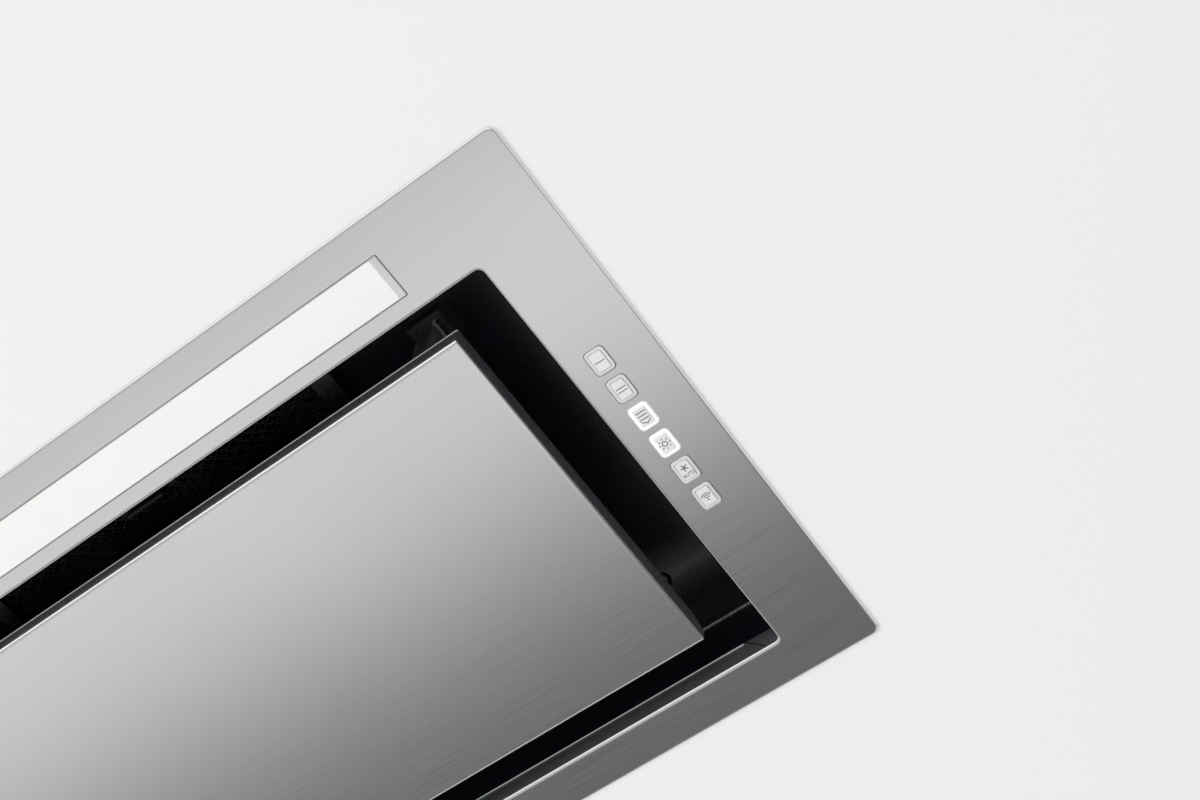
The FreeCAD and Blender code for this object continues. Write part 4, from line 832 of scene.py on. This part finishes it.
def gland():
    """Cable gland: six-sided body and nut, a ribbed dome and an open bore for the supply lead."""
    low, high = node_box("cable_gland")
    centre = Vector((0, (low.y + high.y) / 2, (low.z + high.z) / 2))
    flats, wall = (high.y - low.y) / 2, low.x + 5
    around = Matrix.Rotation(math.pi / 2, 4, "Y")
    turns = [math.tau * k / 48 + math.pi / 6 for k in range(48)]

    def at(x, radii):
        return [around @ polar(r, turn) + centre + Vector((x, 0, 0))
                for r, turn in zip(radii, turns)]

    def turned(x, radius, rib=0.0):
        return at(x, [radius - (rib if k % 2 else 0) for k in range(48)])

    def six_sided(x):
        return at(x, [hexagon(flats / math.cos(math.pi / 6), turn) for turn in turns])

    rings = [turned(low.x, 4.0), turned(low.x, flats * 0.97), six_sided(low.x + 0.6),
             six_sided(wall - 0.6), turned(wall, flats * 0.97), turned(wall, 8.0),
             turned(wall + 1, 8.0), turned(wall + 1, flats * 0.97), six_sided(wall + 1.6),
             six_sided(wall + 6.4), turned(wall + 7, flats * 0.96), turned(wall + 7.4, 9.2),
             turned(wall + 8, 9.7, 0.5), turned(wall + 15, 9.5, 0.5),
             turned(wall + 18.5, 7.6, 0.3), turned(high.x, 5.0), turned(high.x, 4.0)]
    bm = bmesh.new()
    loft(bm, rings + rings[:1], 0, False, False)
    piece("cable_gland_ribbed", bm, "root", [BLACK_PLASTIC], ["cable_gland"], 30)


# ---- fasteners
def threaded(radius, pitch, turns_shown, sides=12):
    """A threaded rod one unit long below zero, to be stretched to its length."""
    bm = bmesh.new()
    steps = turns_shown * 4
    rings = []
    for k in range(steps + 1):
        share_down = k / steps
        ring = []
        for i in range(sides):
            share = (turns_shown * share_down - i / sides) % 1.0
            depth = pitch * 0.5 * abs(2 * share - 1) if 0 < k < steps else pitch * 0.5
            ring.append(polar(radius - depth * 0.6, math.tau * i / sides, -share_down))
        rings.append(ring)
    loft(bm, rings)
    return as_mesh("threaded", bm)


def screw_head(head, height, dome):
    """A head standing on zero, with a cross recess. dome gives a round head, and otherwise it is
    six-sided on a washer."""
    bm = bmesh.new()
    if dome:
        profile = [(head, 0), (head, height * 0.25), (head * 0.93, height * 0.55),
                   (head * 0.75, height * 0.85), (head * 0.55, height)]
        rows = loft(bm, [circle(r, z, 24) for r, z in profile], 0, True, False)
    else:
        loft(bm, [circle(head, 0, 24), circle(head, 0.5, 24), circle(head * 0.94, 0.7, 24)])
        flats = head * 0.82
        rows = loft(bm, [circle(flats, 0.65, 6), circle(flats, height - 0.3, 6),
                         circle(flats * 0.88, height, 6)], 0, True, False)
    reach = head * 0.42
    width, depth = reach * 0.26, height * 0.5
    outline = []
    for k in range(4):
        turn = Matrix.Rotation(math.pi / 2 * k, 4, "Z")
        outline += [turn @ Vector((width, -width, 0)), turn @ Vector((reach, -width, 0)),
                    turn @ Vector((reach, width, 0))]
    cross = loft(bm, [moved(outline, (0, 0, height)),
                      [p * 0.6 + Vector((0, 0, height - depth)) for p in outline]], 0, False, True)
    fill(bm, [rows[-1], cross[0]])
    return as_mesh("head", bm)


def nut(flats, height, bore):
    """A plain six-sided nut with bevelled corners and an open bore."""
    corner, bevel = flats / 2 / math.cos(math.pi / 6), 0.45

    def ring(z, radius, six=False):
        turns = [math.tau * k / 24 for k in range(24)]
        return [polar(min(hexagon(corner, turn), radius) if six else radius, turn, z)
                for turn in turns]

    rings = [ring(0, bore), ring(0, flats / 2 * 0.98), ring(bevel, corner, True),
             ring(height - bevel, corner, True), ring(height, flats / 2 * 0.98),
             ring(height, bore)]
    bm = bmesh.new()
    loft(bm, rings + rings[:1], 0, False, False)
    return as_mesh("nut", bm)


def seats_of(node):
    """Where each screw of a node sits, its axis, its shank's length, its head's radius and
    height, and its shank's radius."""
    seats = []
    for points in solids_of(node):
        low, high = box_of(points)
        centre = (low + high) / 2

        def width(axis, level):
            return max((p - centre)[other] for p in points if abs(p[axis] - level) < 0.02
                       for other in range(3) if other != axis)

        axis = max(range(3), key=lambda a: abs(width(a, high[a]) - width(a, low[a])))
        up = width(axis, high[axis]) > width(axis, low[axis])
        head = min((high - low)[other] for other in range(3) if other != axis) / 2
        wide = [p[axis] for p in points
                if max(abs((p - centre)[i]) for i in range(3) if i != axis) > head * 0.8]
        seat = min(wide) if up else max(wide)
        height = abs((high if up else low)[axis] - seat)
        direction = Vector((0, 0, 0))
        direction[axis] = 1 if up else -1
        spot = Vector(centre)
        spot[axis] = seat
        shank = width(axis, (low if up else high)[axis])
        seats.append((spot, direction, high[axis] - low[axis] - height, head, height, shank))
    return seats


def fastened(name, node, seats, head, shank, slot):
    """One piece of a node's screws, studs or nuts, which all look alike, each on its seat."""
    points = bpy.data.meshes.new("seats")
    points.from_pydata([seat[0] for seat in seats], [], [])
    points.attributes.new("axis", "FLOAT_VECTOR", "POINT")
    points.attributes.new("reach", "FLOAT", "POINT")
    for k, seat in enumerate(seats):
        points.attributes["axis"].data[k].vector = seat[1]
        points.attributes["reach"].data[k].value = seat[2]
    samples = [placed("sample", mesh) for mesh in (head, shank)]
    mesh = grown(name, points, FASTENERS, {"Head": samples[0], "Shank": samples[1],
                                           "Finish": FINISH[slot]})
    for sample in samples:
        bpy.data.objects.remove(sample)
    for label in ("axis", "reach"):
        if label in mesh.attributes:
            mesh.attributes.remove(mesh.attributes[label])
    dressed(name, mesh, "root", [], [node], 40)


def screws(name, node, slot, dome):
    seats = seats_of(node)
    head, height, shank = seats[0][3:]
    fastened(name, node, seats, screw_head(head, height, dome), threaded(shank, shank * 0.5, 6),
             slot)


def upright_seats(node, at_top):
    """Seats of studs, which hang from their top, or of nuts, which stand on their foot."""
    seats = []
    for points in solids_of(node):
        low, high = box_of(points)
        spot = (low + high) / 2
        spot.z = (high if at_top else low).z
        seats.append((spot, Vector((0, 0, 1)), high.z - low.z))
    return seats


trim_frame()
panel_sheet()
lap_edge()
lens()
button_frames()
for button in range(1, 7):
    button_cap(button)
FOIL_TREE = foil_tree()
for half in ("left", "right"):
    filter_foil(half, FOIL_TREE)
fan_wheel()
gland()
FASTENERS = fastener_tree()
NOTHING = bpy.data.meshes.new("nothing")
screws("ceiling_pan_screws", "ceiling_screws", "dark_screw", True)
screws("sheet_hex_screws", "sheet_screws", "zinc", False)
screws("bracket_hex_screws", "bracket_screws", "zinc", False)
fastened("threaded_studs", "frame_studs", upright_seats("frame_studs", True), NOTHING,
         threaded(2.0, 0.7, 13), "zinc")
fastened("hex_nuts", "stud_nuts", upright_seats("stud_nuts", False), nut(7.0, 3.2, 2.02), NOTHING,
         "zinc")


# ---- stage, camera, light
def one_sided(name, hex_colour, glow):
    """A matt backdrop that shows from its front only, so that it hides the hood from nowhere. It
    is lifted towards white for the camera alone, and so keeps the hood's shadow."""
    material, tree, _ = new_material(name)
    seen = add(tree, "ShaderNodeLightPath").outputs["Is Camera Ray"]
    lift = add(tree, "ShaderNodeMath", {0: seen, 1: glow}, operation="MULTIPLY")
    matt = add(tree, "ShaderNodeBsdfDiffuse", {"Color": linear(hex_colour), "Roughness": 0.5})
    pale = add(tree, "ShaderNodeEmission", {"Color": linear(hex_colour), "Strength": lift})
    front = add(tree, "ShaderNodeAddShader", {0: matt, 1: pale})
    clear = add(tree, "ShaderNodeBsdfTransparent")
    behind = add(tree, "ShaderNodeNewGeometry").outputs["Backfacing"]
    return finish(material, tree, add(tree, "ShaderNodeMixShader", {0: behind, 1: front,
                                                                    2: clear}))


def stage_mesh(name, corners, faces, material):
    mesh = bpy.data.meshes.new(name)
    mesh.from_pydata(corners, [], faces)
    mesh.materials.append(material)
    thing = placed(name, mesh)
    thing.visible_glossy = thing.visible_diffuse = thing.visible_shadow = False
    return thing


def oblong(half_x, half_y, z):
    return [(-half_x, -half_y, z), (half_x, -half_y, z), (half_x, half_y, z), (-half_x, half_y, z)]


def board():
    """Pale board in the seat plane, with the cut-out that the hood hangs in; it faces down."""
    corners = oblong(2.6, 2.6, 0) + oblong(0.3525, 0.1365, 0)
    faces = [(0, 4, 5, 1), (1, 5, 6, 2), (2, 6, 7, 3), (3, 7, 4, 0)]
    stage_mesh("mounting_board", corners, faces, one_sided("pale_board", "#dedfdd", 0.28))


def floor():
    """Plain pale floor far below, for the views from above."""
    stage_mesh("floor", oblong(40.0, 40.0, -1.0), [(0, 1, 2, 3)],
               one_sided("pale_floor", "#e6e6e4", 0.35))


def soft_card(name, low, high, coordinate, near, far, first, last):
    """A large card between two corners, that only the reflections see. It goes softly from one
    grey to another, so that the steel shows the even gradient of a studio instead of a flat
    tone."""
    wide, tall = (axis for axis in range(3) if low[axis] != high[axis])
    corners = [list(low), list(low), high, list(low)]
    corners[1][wide], corners[3][tall] = high[wide], high[tall]
    material, tree, place = new_material(name)
    across = add(tree, "ShaderNodeSeparateXYZ", {"Vector": place}).outputs[coordinate]
    level = add(tree, "ShaderNodeMapRange", {
        "Value": across, "From Min": near, "From Max": far, "To Min": first, "To Max": last},
        interpolation_type="SMOOTHSTEP")
    shade = add(tree, "ShaderNodeEmission", {"Color": (1, 1, 1, 1), "Strength": level})
    thing = stage_mesh(name, corners, [(0, 1, 2, 3)], finish(material, tree, shade))
    thing.visible_camera = False
    thing.visible_glossy = True


def lamp(name, place, aim, width, height, watts):
    data = bpy.data.lights.new(name, "AREA")
    data.shape = "RECTANGLE"
    data.size, data.size_y, data.energy = width, height, watts
    thing = placed(name, data)
    thing.location = place
    thing.rotation_euler = (Vector(aim) - Vector(place)).to_track_quat("-Z", "Y").to_euler()
    thing.visible_camera = thing.visible_glossy = False


def daylight():
    """Plain studio surroundings: white to the eye and in reflections, softer as light."""
    world = bpy.data.worlds.new("studio")
    bpy.context.scene.world = world
    world.use_nodes = True
    tree = world.node_tree
    tree.nodes.clear()
    path = add(tree, "ShaderNodeLightPath")
    seen = path.outputs["Is Camera Ray"]
    for ray in ("Is Glossy Ray", "Is Transmission Ray"):
        seen = add(tree, "ShaderNodeMath", {0: seen, 1: path.outputs[ray]}, operation="MAXIMUM")
    strength = add(tree, "ShaderNodeMapRange", {"Value": seen, "To Min": 0.62, "To Max": 1.0})
    sky = add(tree, "ShaderNodeBackground", {"Color": (1, 1, 1, 1), "Strength": strength})
    add(tree, "ShaderNodeOutputWorld", {"Surface": sky})


def camera():
    """Looks up at the right-hand front corner from below, as the photograph does."""
    data = bpy.data.cameras.new("view_from_below")
    data.sensor_width, data.lens = 36.0, 48.0
    data.clip_start, data.clip_end = 0.01, 100.0
    thing = placed("view_from_below", data)
    thing.location = (0.4995, -0.2645, -0.611)
    turn, rise = math.radians(125.82), math.radians(64.0)
    look = Vector((math.cos(rise) * math.cos(turn), math.cos(rise) * math.sin(turn),
                   math.sin(rise)))
    thing.rotation_euler = look.to_track_quat("-Z", "Y").to_euler()
    bpy.context.scene.camera = thing


board()
floor()
for card in (
        ("low_back_card", (-9, 0.55, -3), (9, 2, -3), "Y", 0.95, 1.75, 1.08, 0.05),
        ("low_far_card", (-9, 2, -3), (9, 14, -3), "Y", 2.3, 4.8, 0.06, 0.9),
        ("low_front_card", (-9, -3, -3), (9, 0.55, -3), "Y", 0.3, 0.8, 0.62, 1.08),
        ("front_card", (-6, -4.5, -3), (6, -4.5, -0.2), "Z", -3.0, -2.0, 1.0, 1.9),
        ("far_back_card", (-9, 9, -3), (9, 9, 0.2), "Z", -3.0, -1.2, 0.9, 0.16),
        ("right_card", (4.5, -4, -3), (4.5, 6, -0.1), "Z", -3.0, -2.0, 0.4, 0.15),
        ("left_card", (-5, -7, 0.2), (-5, 7, 5), "Z", 0.4, 4.0, 0.85, 0.3),
        ("back_card", (-7, 5, 0.2), (7, 5, 5), "Z", 0.4, 4.0, 0.9, 0.4)):
    soft_card(*card)
lamp("key_below", (-0.9, -1.3, -1.6), (0.1, 0, 0), 1.6, 1.2, 30)
lamp("key_above", (0.9, -1.2, 1.6), (0, 0, 0.15), 1.6, 1.2, 34)
daylight()
camera()
bpy.context.scene.view_settings.view_transform = "Standard"
